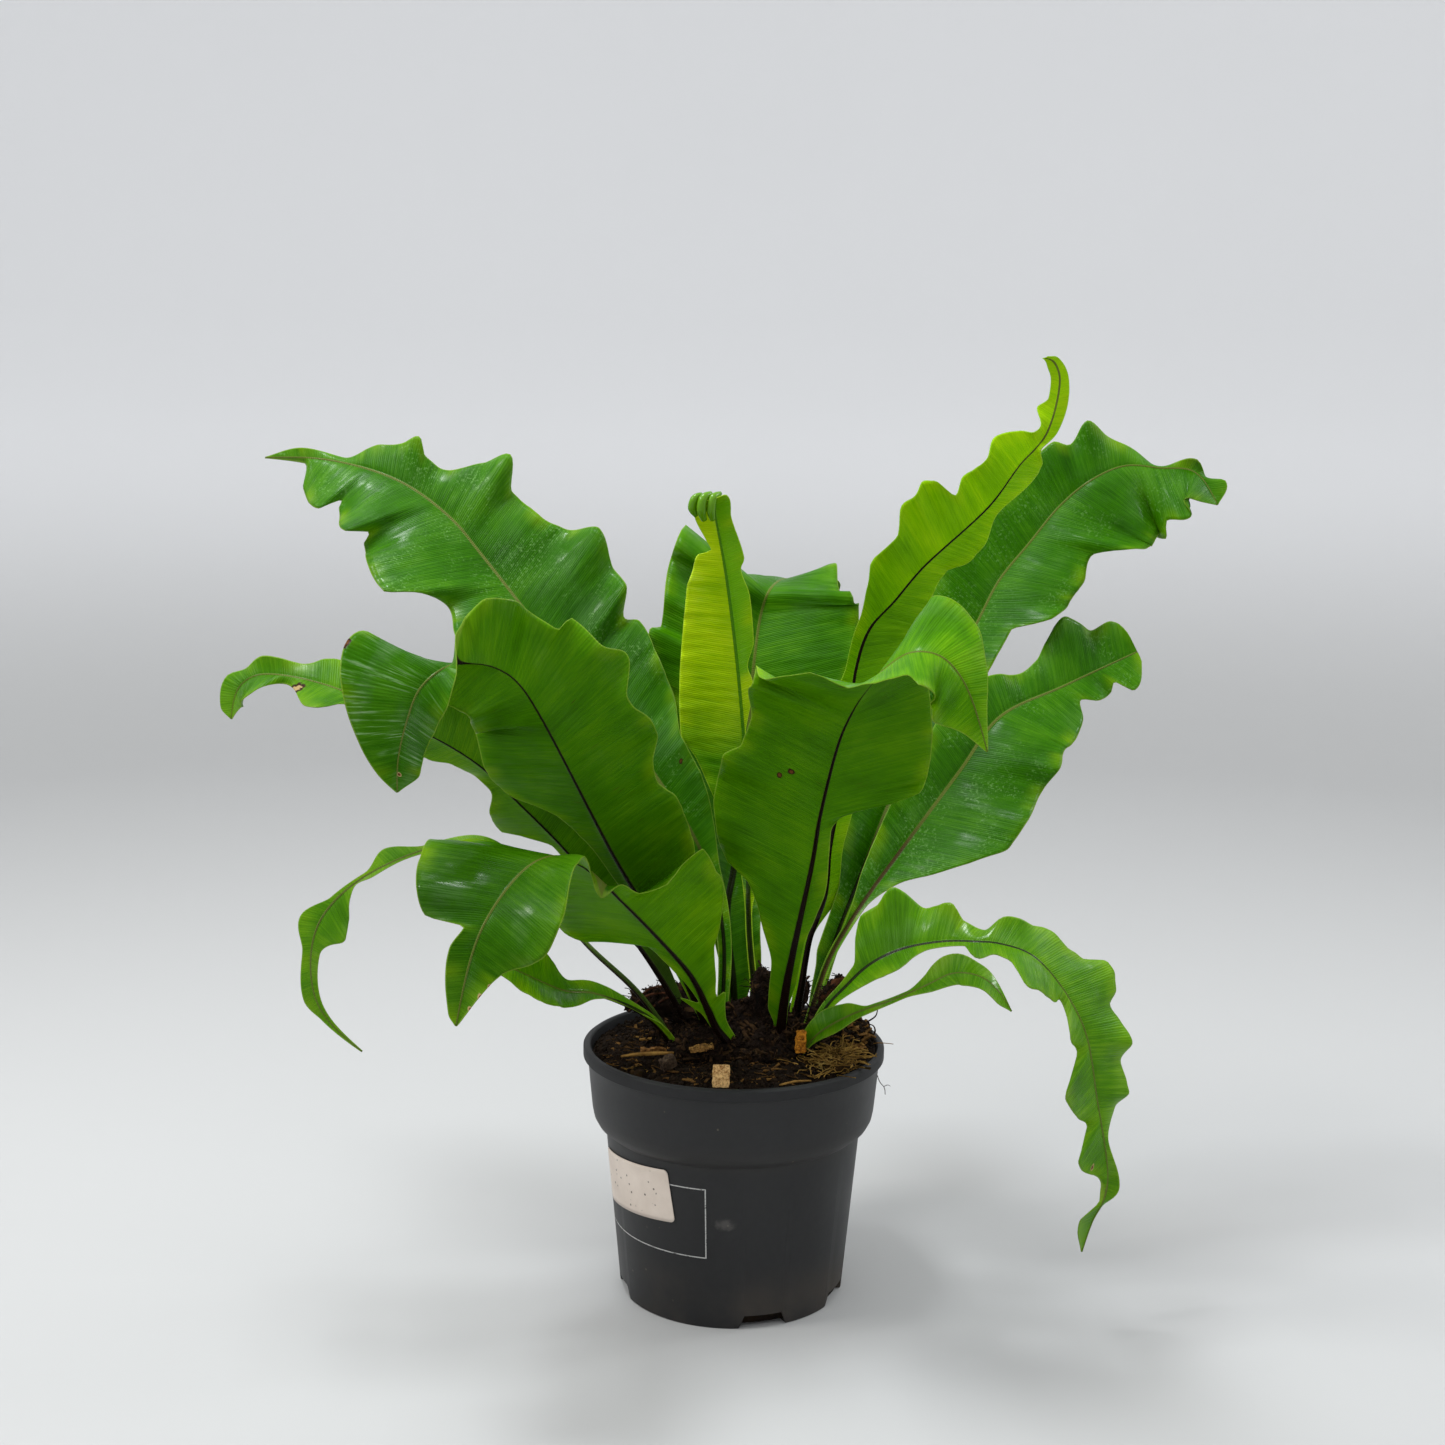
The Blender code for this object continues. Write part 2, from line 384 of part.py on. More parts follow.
def cut(obj, collection, solver="EXACT"):
    """Takes every object of the collection out of this one."""
    boolean = obj.modifiers.new(f"cut {collection.name}", "BOOLEAN")
    boolean.operation = "DIFFERENCE"
    boolean.operand_type = "COLLECTION"
    boolean.collection = collection
    boolean.solver = solver


def join(obj, pieces):
    """Grows the collection's pieces into the object, then drops the pieces."""
    boolean = obj.modifiers.new("join", "BOOLEAN")
    boolean.operation = "UNION"
    boolean.operand_type = "COLLECTION"
    boolean.collection = pieces
    boolean.solver = "EXACT"
    graph = bpy.context.evaluated_depsgraph_get()
    mesh = bpy.data.meshes.new_from_object(obj.evaluated_get(graph))
    obj.modifiers.clear()
    obj.data = mesh
    for piece in list(pieces.objects):
        bpy.data.objects.remove(piece, do_unlink=True)
    bpy.data.collections.remove(pieces)


# Curves through listed points


def slopes(x, y):
    """Slopes that keep a curve between its points, with no overshoot."""
    rise = np.diff(y, axis=0) / np.diff(x)[:, None]
    slope = np.zeros_like(y)
    turn = rise[:-1] * rise[1:]
    total = rise[:-1] + rise[1:]
    slope[1:-1] = np.where(turn > 0, 2 * turn / np.where(turn > 0, total, 1), 0)
    slope[0], slope[-1] = rise[0], rise[-1]
    return slope


def hermite(x, y, slope, at):
    at = np.clip(at, x[0], x[-1])
    k = np.clip(np.searchsorted(x, at, side="right") - 1, 0, len(x) - 2)
    step = (x[k + 1] - x[k])[:, None]
    t = ((at - x[k])[:, None]) / step
    start = (2 * t**3 - 3 * t**2 + 1) * y[k] + (t**3 - 2 * t**2 + t) * step * slope[k]
    end = (3 * t**2 - 2 * t**3) * y[k + 1] + (t**3 - t**2) * step * slope[k + 1]
    return start + end


def listed(rows, at):
    """The values of (share, value, ...) rows at each share."""
    rows = np.array(rows, float)
    if len(rows) == 1:
        return np.tile(rows[:, 1:], (len(at), 1))
    return hermite(rows[:, 0], rows[:, 1:], slopes(rows[:, 0], rows[:, 1:]), at)


def along_rib(points, at):
    """Points of a smooth curve through the rib's points, at shares of its length."""
    p = np.array(points, float)
    x = np.concatenate([[0], np.cumsum(np.sqrt(np.linalg.norm(np.diff(p, axis=0), axis=1)))])
    rise = np.diff(p, axis=0) / np.diff(x)[:, None]
    step = np.diff(x)[:, None]
    slope = np.zeros_like(p)
    slope[1:-1] = (rise[:-1] * step[1:] + rise[1:] * step[:-1]) / (step[:-1] + step[1:])
    slope[0] = 1.5 * rise[0] - 0.5 * slope[1]
    slope[-1] = 1.5 * rise[-1] - 0.5 * slope[-2]
    fine = np.linspace(0, x[-1], RIB_SAMPLES)
    route = hermite(x, p, slope, fine)
    run = np.concatenate([[0], np.cumsum(np.linalg.norm(np.diff(route, axis=0), axis=1))])
    return hermite(x, p, slope, np.interp(at * run[-1], run, fine))


# Fronds


def unit(vectors):
    return vectors / np.linalg.norm(vectors, axis=-1, keepdims=True)


def rib_frame(frond, at):
    """Rib point, forward, right-hand and upper direction at each share."""
    middle = along_rib(frond["rib"], at)
    ahead = along_rib(frond["rib"], np.clip(at + SMALL_STEP, 0, 1))
    behind = along_rib(frond["rib"], np.clip(at - SMALL_STEP, 0, 1))
    forward = unit(ahead - behind)
    heading = np.radians(listed(frond["heading"], at)[:, 0])
    level = np.stack([np.sin(heading), -np.cos(heading), 0 * heading], 1)
    side = unit(level - (forward * level).sum(1)[:, None] * forward)
    upper = np.cross(side, forward)
    roll = np.radians(listed(frond["roll"], at))
    rolled = np.cos(roll) * side + np.sin(roll) * upper
    return middle, forward, rolled, np.cos(roll) * upper - np.sin(roll) * side


def crest_shares(frond):
    """Where the blade gets a row of points: at its crests, and between distant ones."""
    crests = sorted({0.0, 1.0} | {row[0] for row in frond["left"] + frond["right"]})
    kept = [0.0]
    for share in crests[1:-1]:
        if share - kept[-1] >= NEAREST and 1 - share >= NEAREST:
            kept.append(share)
    shares = [0.0]
    for share in kept[1:] + [1.0]:
        last = shares[-1]
        parts = math.ceil((share - last) / FARTHEST)
        shares += [last + (share - last) * (i + 1) / parts for i in range(parts)]
    return np.array(shares)


def blade_rows(frond, at, grow):
    """Seven points across the upper side at each share, from left to right."""
    middle, forward, side, upper = rib_frame(frond, at)
    middle = middle - (at == 0)[:, None] * grow * forward
    fold = np.tan(np.radians(listed(frond["fold"], at)[:, 0]))
    columns = []
    halves = (("left", -1, (1, MID_BLADE, None)), ("right", 1, (0, None, MID_BLADE, 1)))
    for which, sign, places in halves:
        reach, wave = listed(frond[which], at).T
        reach = reach + grow
        away = sign * math.cos(SWEEP) * side + math.sin(SWEEP) * forward
        for place in places:
            rib_side = np.minimum(RIB_HALF / reach, RIB_WIDEST)
            k = rib_side if place is None else np.full(len(at), place)
            lift = fold * reach * k + frond["cup"] * reach * 4 * k * (1 - k)
            lift = lift + wave * k**WAVE_POWER
            columns.append(middle + (reach * k)[:, None] * away + lift[:, None] * upper)
    return np.stack(columns, 1), upper


def frond_solid(frond, grow=0.0, length=1.0):
    """Points and faces of a frond, or of a slightly larger one to cut its socket."""
    at = crest_shares(frond)
    at = at[at <= length]
    rows, upper = blade_rows(frond, at, grow)
    normal = unit(np.cross(np.gradient(rows, axis=1), np.gradient(rows, axis=0)))
    normal = normal * np.sign((normal * upper[:, None]).sum(2))[:, :, None]
    depth = np.full(rows.shape[:2], BLADE + grow)
    fade = np.minimum(at / RIB_FADE, 1) ** RIB_FADE_POWER
    depth[:, rows.shape[1] // 2] += RIB_DEEP + (RIB_SHALLOW - RIB_DEEP) * fade
    top = rows + normal * grow
    low = rows - normal * depth[:, :, None]
    return np.concatenate([top.reshape(-1, 3), low.reshape(-1, 3)]), grid_shell(rows)


def grid_shell(rows):
    """Faces of a closed sheet: its top grid, the same below, and the edges between."""
    count, across = rows.shape[:2]
    below = count * across
    faces = []

    def wall(a, b):
        faces.extend([(a, b, below + b), (a, below + b, below + a)])

    for i in range(count - 1):
        for j in range(across - 1):
            a, b = i * across + j, i * across + j + 1
            c, d = b + across, a + across
            one = np.linalg.norm(rows[i, j] - rows[i + 1, j + 1])
            other = np.linalg.norm(rows[i, j + 1] - rows[i + 1, j])
            pair = [(a, b, c), (a, c, d)] if one <= other else [(a, b, d), (b, c, d)]
            faces.extend(pair)
            faces.extend([(below + x, below + z, below + y) for x, y, z in pair])
    for i in range(count - 1):
        wall(i * across, (i + 1) * across)
        wall((i + 2) * across - 1, (i + 1) * across - 1)
    for j in range(across - 1):
        wall(j + 1, j)
        wall((count - 1) * across + j, (count - 1) * across + j + 1)
    return faces


def add_frond(name, frond, collection):
    points, faces = frond_solid(frond)
    obj = new_object(name, points, faces, collection)
    look = "young" if "young" in name or "small" in name else "frond"
    obj.data.materials.append(new_material(name, look))
    return obj


# Round pieces


def revolved(name, section, collection):
    """A solid of revolution from a half section in millimetres."""
    mesh = bpy.data.meshes.new(name)
    points = [(r * MM, 0, z * MM) for r, z in section]
    mesh.from_pydata(points, [(i, i + 1) for i in range(len(points) - 1)], [])
    obj = bpy.data.objects.new(name, mesh)
    collection.objects.link(obj)
    screw = obj.modifiers.new("turn", "SCREW")
    screw.steps = STEPS
    screw.render_steps = STEPS
    screw.use_merge_vertices = True
    screw.merge_threshold = 0.00001
    screw.use_smooth_shade = True
    return obj


def around(angle):
    """Direction at an angle in degrees, counted from the front to the right."""
    a = math.radians(angle)
    return math.sin(a), -math.cos(a)


def notch_solid(middle, half):
    """A wedge through the pot's wall and floor at one drainage notch."""
    points, faces = [], []
    for i in range(NOTCH_PARTS + 1):
        spread = 2 * i / NOTCH_PARTS - 1
        for inset, z in ((0, -1), (NOTCH_SLOPE, NOTCH_HEIGHT)):
            x, y = around(middle + spread * (half - inset))
            for r in (NOTCH_INNER, NOTCH_OUTER):
                points.append((x * r, y * r, z))
    for i in range(NOTCH_PARTS):
        a = 4 * i
        b = a + 4
        faces += [(a, a + 1, b + 1, b), (a + 2, b + 2, b + 3, a + 3)]
        faces += [(a, b, b + 2, a + 2), (a + 1, a + 3, b + 3, b + 1)]
    last = 4 * NOTCH_PARTS
    faces += [(0, 2, 3, 1), (last, last + 1, last + 3, last + 2)]
    return points, faces


def add_pot(collection, cutters):
    section = [(0, FLOOR_TOP)] + POT_INSIDE[::-1] + POT_OUTSIDE + [(0, 0)]
    pot = revolved("pot", section, collection)
    for i, (middle, half) in enumerate(NOTCHES):
        new_cutter(f"notch_{i + 1}", *notch_solid(middle, half), cutters)
    cut(pot, cutters)
    pot.data.materials.append(new_material("pot plastic", "pot"))
    return pot


def polar_solid(rings, steps):
    """A closed solid from rings of points that run from the bottom centre to the top centre."""
    points = [rings[0]] + [p for ring in rings[1:-1] for p in ring] + [rings[-1]]
    last = len(points) - 1
    faces = []
    for j in range(steps):
        k = (j + 1) % steps
        faces.append((0, 1 + k, 1 + j))
        for i in range(len(rings) - 3):
            a, b = 1 + i * steps + j, 1 + i * steps + k
            faces.append((a, b, b + steps, a + steps))
        top = 1 + (len(rings) - 3) * steps
        faces.append((top + j, top + k, last))
    return points, faces


def soil_height(x, y):
    out = math.hypot(x, y) / SOIL_RADIUS
    return SOIL_EDGE + SOIL_TILT * x / SOIL_RADIUS + SOIL_RISE * (1 - out**2)


def add_soil(collection, hollows):
    """Soil that fills the pot just clear of its wall, with an uneven mounded top."""
    rng = random.Random(SEED)
    turns = [2 * math.pi * j / STEPS for j in range(STEPS)]

    def ring(r, z):
        return [(r * math.cos(a), r * math.sin(a), z) for a in turns]

    rings = [(0, 0, FLOOR_TOP + GAP)]
    rings.append(ring(POT_INSIDE[-1][0] - GAP, FLOOR_TOP + GAP))
    for r, z in POT_INSIDE[-2:0:-1]:
        rings.append(ring(r - WALL_GAP, z))
    for r in [SOIL_RADIUS - GAP] + SOIL_RINGS:
        size = SOIL_ROUGH if r in SOIL_RINGS else SOIL_EDGE_ROUGH
        rough = [rng.uniform(-1, 1) * size for _ in turns]
        rings.append([(x, y, soil_height(x, y) + d) for (x, y, _), d in zip(ring(r, 0), rough)])
    rings.append((0, 0, soil_height(0, 0)))
    soil = new_object("soil", *polar_solid(rings, STEPS), collection, smooth=False)
    for hollow in hollows:
        cut(soil, hollow, "MANIFOLD")
    soil.data.materials.append(new_material("soil peat", "soil"))
    return soil


def crown_ring(share, z, grow, rough=None):
    ring = []
    for j in range(CROWN_STEPS):
        a = 2 * math.pi * j / CROWN_STEPS
        wobble = 1 + sum(high * math.sin(count * a + turn) for count, high, turn in CROWN_LOBES)
        x = CROWN_MIDDLE[0] + (CROWN_SIZE[0] * share * wobble + grow) * math.cos(a)
        y = CROWN_MIDDLE[1] + (CROWN_SIZE[1] * share * wobble + grow) * math.sin(a)
        ring.append((x, y, z + (rough[j] if rough else 0)))
    return ring


def crown_mound():
    """The lumpy root mass, flat underneath where it stands in the soil."""
    rng = random.Random(SEED + 1)
    rings = [(*CROWN_MIDDLE, CROWN_FLOOR), crown_ring(CROWN_FOOT, CROWN_FLOOR, 0)]
    for share in reversed(CROWN_RINGS):
        z = CROWN_TOP - (CROWN_TOP - CROWN_EDGE) * share**CROWN_POWER
        size = 0 if share == 1 else CROWN_ROUGH
        rough = [rng.uniform(-1, 1) * size for _ in range(CROWN_STEPS)]
        rings.append(crown_ring(share, z, 0, rough))
    rings.append((*CROWN_MIDDLE, CROWN_TOP))
    return polar_solid(rings, CROWN_STEPS)


def crown_pocket():
    """The hollow in the soil that the crown stands in, open upwards."""
    top = CROWN_TOP + POCKET_ABOVE
    rings = [(*CROWN_MIDDLE, CROWN_FLOOR - GAP)]
    rings += [crown_ring(CROWN_FOOT, CROWN_FLOOR - GAP, POCKET_GAP)]
    rings += [crown_ring(1, CROWN_EDGE, POCKET_GAP), crown_ring(1, top, POCKET_GAP)]
    rings.append((*CROWN_MIDDLE, top))
    return polar_solid(rings, CROWN_STEPS)


def tube_solid(route, radii):
    """A round stub along a route, closed at both ends."""
    route = np.array(route, float)
    at = np.linspace(0, 1, 2 * len(route) - 1)
    middle = along_rib(route, at)
    forward = unit(np.gradient(middle, axis=0))
    side = unit(np.cross(forward, np.array([0.3, 1.0, 0.1])))
    other = np.cross(forward, side)
    size = np.interp(at, np.linspace(0, 1, len(radii)), radii)
    rings = [tuple(middle[0])]
    for i in range(len(at)):
        turns = [2 * math.pi * j / STUB_STEPS for j in range(STUB_STEPS)]
        rings.append([tuple(middle[i] + size[i] * (math.cos(a) * side[i] + math.sin(a) * other[i]))
                      for a in turns])
    rings.append(tuple(middle[-1] + forward[-1] * radii[-1] * STUB_TIP))
    return polar_solid(rings, STUB_STEPS)


def add_crown(collection, hollows):
    crown = new_object("crown", *crown_mound(), collection)
    pieces = new_collection("stubs")
    for i, (route, radii) in enumerate(STUBS):
        new_object(f"stub_{i + 1}", *tube_solid(route, radii), pieces)
    join(crown, pieces)
    for hollow in hollows:
        cut(crown, hollow, "MANIFOLD")
    crown.data.materials.clear()
    crown.data.materials.append(new_material("crown fibre", "crown"))
    return crown


# Loose matter on the soil


def chip_solid(middle, size, turn, pitch, grow=0.0):
    """A splinter of wood: a block whose ends taper and whose long edges are uneven."""
    rng = random.Random(round(sum(middle)) + SEED)
    length, width, thick = (s / 2 for s in size)
    heading, slope = math.radians(turn), math.radians(pitch)
    forward = np.array([math.cos(heading) * math.cos(slope),
                        math.sin(heading) * math.cos(slope), math.sin(slope)])
    side = np.array([-math.sin(heading), math.cos(heading), 0])
    up = np.cross(forward, side)
    points = []
    for i in range(CHIP_PARTS + 1):
        t = 2 * i / CHIP_PARTS - 1
        ends = CHIP_END + (1 - CHIP_END) * (1 - t * t) ** 0.5
        half = width * ends * rng.uniform(CHIP_UNEVEN, 1.0) + grow
        tall = thick * (CHIP_FLAT + (1 - CHIP_FLAT) * ends) + grow
        centre = np.array(middle) + forward * t * (length + grow)
        for a, b in ((-1, -1), (1, -1), (1, 1), (-1, 1)):
            points.append(centre + side * half * a + up * tall * b)
    last = 4 * CHIP_PARTS
    faces = [(3, 2, 1, 0), (last, last + 1, last + 2, last + 3)]
    for i in range(CHIP_PARTS):
        for j in range(4):
            k = (j + 1) % 4
            faces.append((4 * i + j, 4 * i + k, 4 * i + 4 + k, 4 * i + 4 + j))
    return points, faces


def coir_solid(grow=0.0):
    """A flattened tuft, as a lumpy ball."""
    rng = random.Random(SEED + 3)
    out = COIR_GAP * grow
    rings = []
    for level in COIR_LEVELS:
        wide = (1 - level * level) ** 0.5
        ring = []
        for j in range(COIR_STEPS):
            a = 2 * math.pi * j / COIR_STEPS
            lump = 1 + rng.uniform(*COIR_LUMPS)
            ring.append((COIR_MIDDLE[0] + (COIR_SIZE[0] * wide * lump + out) * math.cos(a),
                         COIR_MIDDLE[1] + (COIR_SIZE[1] * wide * lump + out) * math.sin(a),
                         COIR_MIDDLE[2] + COIR_SIZE[2] * level - grow))
        rings.append(ring)
    bottom = (*COIR_MIDDLE[:2], COIR_MIDDLE[2] + COIR_SIZE[2] * COIR_ENDS[0] - grow)
    top = (*COIR_MIDDLE[:2], COIR_MIDDLE[2] + COIR_SIZE[2] * COIR_ENDS[1] + grow)
    return polar_solid([bottom] + rings + [top], COIR_STEPS)


def add_litter(collection):
    for name, values in CHIPS.items():
        chip = new_object(name, *chip_solid(*values), collection, smooth=False)
        chip.data.materials.append(new_material(name, name))
    coir = new_object("coir_tuft", *coir_solid(), collection)
    coir.data.materials.append(new_material("coir", "coir"))


def wall_radius(z):
    """Radius of the pot's plain wall below the collar."""
    (top, high), (low, foot) = POT_OUTSIDE[-3], POT_OUTSIDE[-2]
    return low + (top - low) * (z - foot) / (high - foot)


def add_label(collection):
    """A sticker with round corners that lies on the pot's wall."""
    half, tall = LABEL_SIZE[0] / 2, LABEL_SIZE[1] / 2
    bend = [LABEL_CORNER * (1 - math.cos(math.radians(a))) for a in LABEL_BENDS]
    straight = half - LABEL_CORNER
    plain = [straight - LABEL_STEP * i for i in range(1, math.ceil(2 * straight / LABEL_STEP))]
    across = sorted([-half + b for b in bend] + [half - b for b in bend] + plain)
    rows = []
    for x in across:
        inset = max(abs(x) - straight, 0)
        reach = tall - LABEL_CORNER + math.sqrt(max(LABEL_CORNER**2 - inset**2, 0))
        row = []
        for share in (1, 0, -1):
            y = share * reach
            run = x * math.cos(LABEL_SLANT) - y * math.sin(LABEL_SLANT)
            z = LABEL_HEIGHT + x * math.sin(LABEL_SLANT) + y * math.cos(LABEL_SLANT)
            radius = wall_radius(z) + 2 * GAP + LABEL_THICK
            u, v = around(LABEL_ANGLE + math.degrees(run / radius))
            row.append((u * radius, v * radius, z))
        rows.append(row)
    rows = np.array(rows)
    inner = rows.copy()
    shrink = 1 - LABEL_THICK / np.hypot(rows[:, :, 0], rows[:, :, 1])
    inner[:, :, :2] *= shrink[:, :, None]
    points = np.concatenate([rows.reshape(-1, 3), inner.reshape(-1, 3)])
    label = new_object("label", points, grid_shell(rows), collection)
    label.data.materials.append(new_material("label paper", "label"))


def main():
    clear_scene()
    fern = new_collection("bird's nest fern")
    notches = new_collection("notch cutters")
    stipes = new_collection("stipe cutters")
    beds = new_collection("litter cutters")
    hollow = new_collection("crown cutter")
    for name, frond in FRONDS.items():
        add_frond(name, frond, fern)
        new_cutter(f"{name}_socket", *frond_solid(frond, GAP, STIPE_SHARE), stipes)
    for name, values in CHIPS.items():
        new_cutter(f"{name}_bed", *chip_solid(*values, grow=GAP), beds)
    new_cutter("coir_bed", *coir_solid(GAP), beds)
    new_cutter("crown_bed", *crown_pocket(), hollow)
    add_pot(fern, notches)
    add_crown(fern, [stipes, beds])
    add_soil(fern, [hollow, beds])
    add_litter(fern)
    add_label(fern)


main()
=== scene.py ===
# Bird's nest fern in a nursery pot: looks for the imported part.
# Lengths in the dictionaries are millimetres and angles are degrees, unless a note says otherwise.

import json
import math
import random

import bmesh
import bpy
import numpy as np
from mathutils import Matrix, Vector, noise

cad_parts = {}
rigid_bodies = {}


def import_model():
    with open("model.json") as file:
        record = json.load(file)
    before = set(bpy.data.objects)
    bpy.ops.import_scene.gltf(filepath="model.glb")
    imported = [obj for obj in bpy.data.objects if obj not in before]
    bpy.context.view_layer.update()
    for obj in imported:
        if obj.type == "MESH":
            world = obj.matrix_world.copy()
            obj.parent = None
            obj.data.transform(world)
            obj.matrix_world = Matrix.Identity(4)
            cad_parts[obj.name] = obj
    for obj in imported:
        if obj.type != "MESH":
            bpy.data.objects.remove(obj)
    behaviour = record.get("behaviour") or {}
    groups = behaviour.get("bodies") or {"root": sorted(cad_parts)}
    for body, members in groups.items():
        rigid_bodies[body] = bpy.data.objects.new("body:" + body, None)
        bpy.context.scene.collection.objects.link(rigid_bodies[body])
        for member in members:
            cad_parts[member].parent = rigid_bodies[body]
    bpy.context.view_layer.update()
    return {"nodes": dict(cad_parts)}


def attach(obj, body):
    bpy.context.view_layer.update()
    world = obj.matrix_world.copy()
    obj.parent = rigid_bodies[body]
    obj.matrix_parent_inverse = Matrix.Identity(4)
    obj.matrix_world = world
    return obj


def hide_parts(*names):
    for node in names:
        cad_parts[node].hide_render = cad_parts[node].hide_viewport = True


mm = 0.001
noise.seed_set(5)  # without a seed, its vectors differ from run to run

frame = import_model()
scene = bpy.context.scene
scene.view_settings.view_transform = "Standard"
print("frame loaded:", len(frame["nodes"]), "nodes")


# Small tools for shader and geometry node trees


class Value:  # wraps a socket, so that maths on it adds Math nodes
    def __init__(self, graph, socket):
        self.graph = graph
        self.socket = socket


def mathsNode(operation, swapped):
    def result(value, other):
        pair = (other, value) if swapped else (value, other)
        return value.graph.math(operation, *pair)

    return result


signs = {"add": "ADD", "sub": "SUBTRACT", "mul": "MULTIPLY", "truediv": "DIVIDE",
         "pow": "POWER", "gt": "GREATER_THAN", "lt": "LESS_THAN"}
for sign, operation in signs.items():
    setattr(Value, f"__{sign}__", mathsNode(operation, False))
    setattr(Value, f"__r{sign}__", mathsNode(operation, True))


class Graph:
    def __init__(self, tree):
        self.tree = tree

    def node(self, kind, sockets=None, out=0, **settings):
        made = self.tree.nodes.new(kind)
        for key, value in settings.items():
            setattr(made, key, value)
        for key, value in (sockets or {}).items():
            if isinstance(value, Value):
                self.tree.links.new(value.socket, made.inputs[key])
            else:
                made.inputs[key].default_value = value
        return Value(self, made.outputs[out])

    def math(self, operation, a, b=None):
        sockets = {0: a} if b is None else {0: a, 1: b}
        return self.node("ShaderNodeMath", sockets, operation=operation)

    def vector(self, operation, a, b):
        key = "Scale" if operation == "SCALE" else 1
        return self.node("ShaderNodeVectorMath", {0: a, key: b}, operation=operation)

    def ramp(self, value, low, high):  # 0 below low, 1 above high, smooth between
        return self.node("ShaderNodeMapRange", {"Value": value, "From Min": low, "From Max": high},
                         interpolation_type="SMOOTHSTEP")

    def tones(self, value, *stops):  # a colour through (place, colour) stops
        made = self.node("ShaderNodeValToRGB", {0: value})
        ramp = made.socket.node.color_ramp
        while len(ramp.elements) < len(stops):
            ramp.elements.new(1)
        for element, (place, colour) in zip(ramp.elements, stops):
            element.position = place
            element.color = (*colour, 1)
        return made

    def mix(self, factor, a, b):
        a, b = ((*colour, 1) if isinstance(colour, tuple) else colour for colour in (a, b))
        return self.node("ShaderNodeMix", {0: factor, 6: a, 7: b}, 2, data_type="RGBA")

    def noise(self, vector, scale, detail=3.0, rough=0.55):
        return self.node("ShaderNodeTexNoise", {"Vector": vector, "Scale": scale,
                                                "Detail": detail, "Roughness": rough})

    def dots(self, vector, scale, low, high):  # 1 in scattered dots, 0 between them
        cells = self.node("ShaderNodeTexVoronoi", {"Vector": vector, "Scale": scale})
        return 1 - self.ramp(cells, low, high)

    def join(self, x, y, z=0.0):
        return self.node("ShaderNodeCombineXYZ", {0: x, 1: y, 2: z})

    def split(self, vector):
        made = self.node("ShaderNodeSeparateXYZ", {0: vector}).socket.node
        return [Value(self, socket) for socket in made.outputs]


class Finish(Graph):  # one material
    def __init__(self, name, roughness, specular=0.5, coatRoughness=0.03):
        self.material = bpy.data.materials.new(name)
        self.material.use_nodes = True
        super().__init__(self.material.node_tree)
        self.shader = self.tree.nodes["Principled BSDF"]
        self.shader.inputs["Roughness"].default_value = roughness
        self.shader.inputs["Specular IOR Level"].default_value = specular
        self.shader.inputs["Coat Roughness"].default_value = coatRoughness

    def place(self):  # metres, in the part's own frame
        return self.node("ShaderNodeTexCoord", {}, "Object")

    def attribute(self, name):
        return self.node("ShaderNodeAttribute", {}, "Fac", attribute_name=name)

    def feed(self, name, value):
        self.tree.links.new(value.socket, self.shader.inputs[name])

    def bump(self, height, distance, strength):  # distance in metres
        sockets = {"Height": height, "Distance": distance, "Strength": strength}
        self.feed("Normal", self.node("ShaderNodeBump", sockets))


# Small tools for meshes

mergeWithin = 0.00001  # metres


def asPiece(name, mesh, material, smooth=True):
    mesh.name = name
    mesh.shade_smooth() if smooth else mesh.shade_flat()
    mesh.materials.clear()
    mesh.materials.append(material)
    piece = bpy.data.objects.new(name, mesh)
    scene.collection.objects.link(piece)
    return piece


def newMesh(name, points, faces, material, smooth=True):  # points in millimetres
    mesh = bpy.data.meshes.new(name)
    mesh.from_pydata((np.asarray(points, float) * mm).tolist(), [], faces)
    solid = bmesh.new()
    solid.from_mesh(mesh)
    if solid.calc_volume(signed=True) < 0:
        bmesh.ops.reverse_faces(solid, faces=solid.faces)
    solid.to_mesh(mesh)
    solid.free()
    return asPiece(name, mesh, material, smooth)


def copyOfNode(name, node, material, smooth=True):  # a merged copy of a CAD node
    mesh = frame["nodes"][node].data.copy()
    solid = bmesh.new()
    solid.from_mesh(mesh)
    bmesh.ops.remove_doubles(solid, verts=solid.verts, dist=mergeWithin)
    solid.to_mesh(mesh)
    solid.free()
    return asPiece(name, mesh, material, smooth)


def settle(piece):  # turns the piece and its modifiers into one plain mesh
    graph = bpy.context.evaluated_depsgraph_get()
    mesh = bpy.data.meshes.new_from_object(piece.evaluated_get(graph))
    piece.modifiers.clear()
    piece.data = mesh
    mesh.name = piece.name


def refine(piece, levels):  # splits every face, and leaves the form as it is
    finer = piece.modifiers.new("finer", "SUBSURF")
    finer.subdivision_type = "SIMPLE"
    finer.levels = finer.render_levels = levels
    settle(piece)


def addLayer(piece, name, numbers):  # one number for each point, for the shader
    layer = piece.data.attributes.new(name, "FLOAT", "POINT")
    layer.data.foreach_set("value", numbers.astype(np.float32))


def dress(piece, slot, *nodes):
    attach(piece, "root")
    if nodes:
        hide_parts(*nodes)


def circle(r, z, steps):
    turns = [2 * math.pi * j / steps for j in range(steps)]
    return [(r * math.cos(a), r * math.sin(a), z) for a in turns]


def polarSolid(rings, steps):  # rings run from the bottom centre to the top centre
    points = [rings[0]] + [p for ring in rings[1:-1] for p in ring] + [rings[-1]]
    top = 1 + (len(rings) - 3) * steps
    faces = []
    for j in range(steps):
        k = (j + 1) % steps
        faces.append((0, 1 + k, 1 + j))
        faces.append((top + j, top + k, len(points) - 1))
        for i in range(len(rings) - 3):
            a, b = 1 + i * steps + j, 1 + i * steps + k
            faces.append((a, b, b + steps, a + steps))
    return points, faces


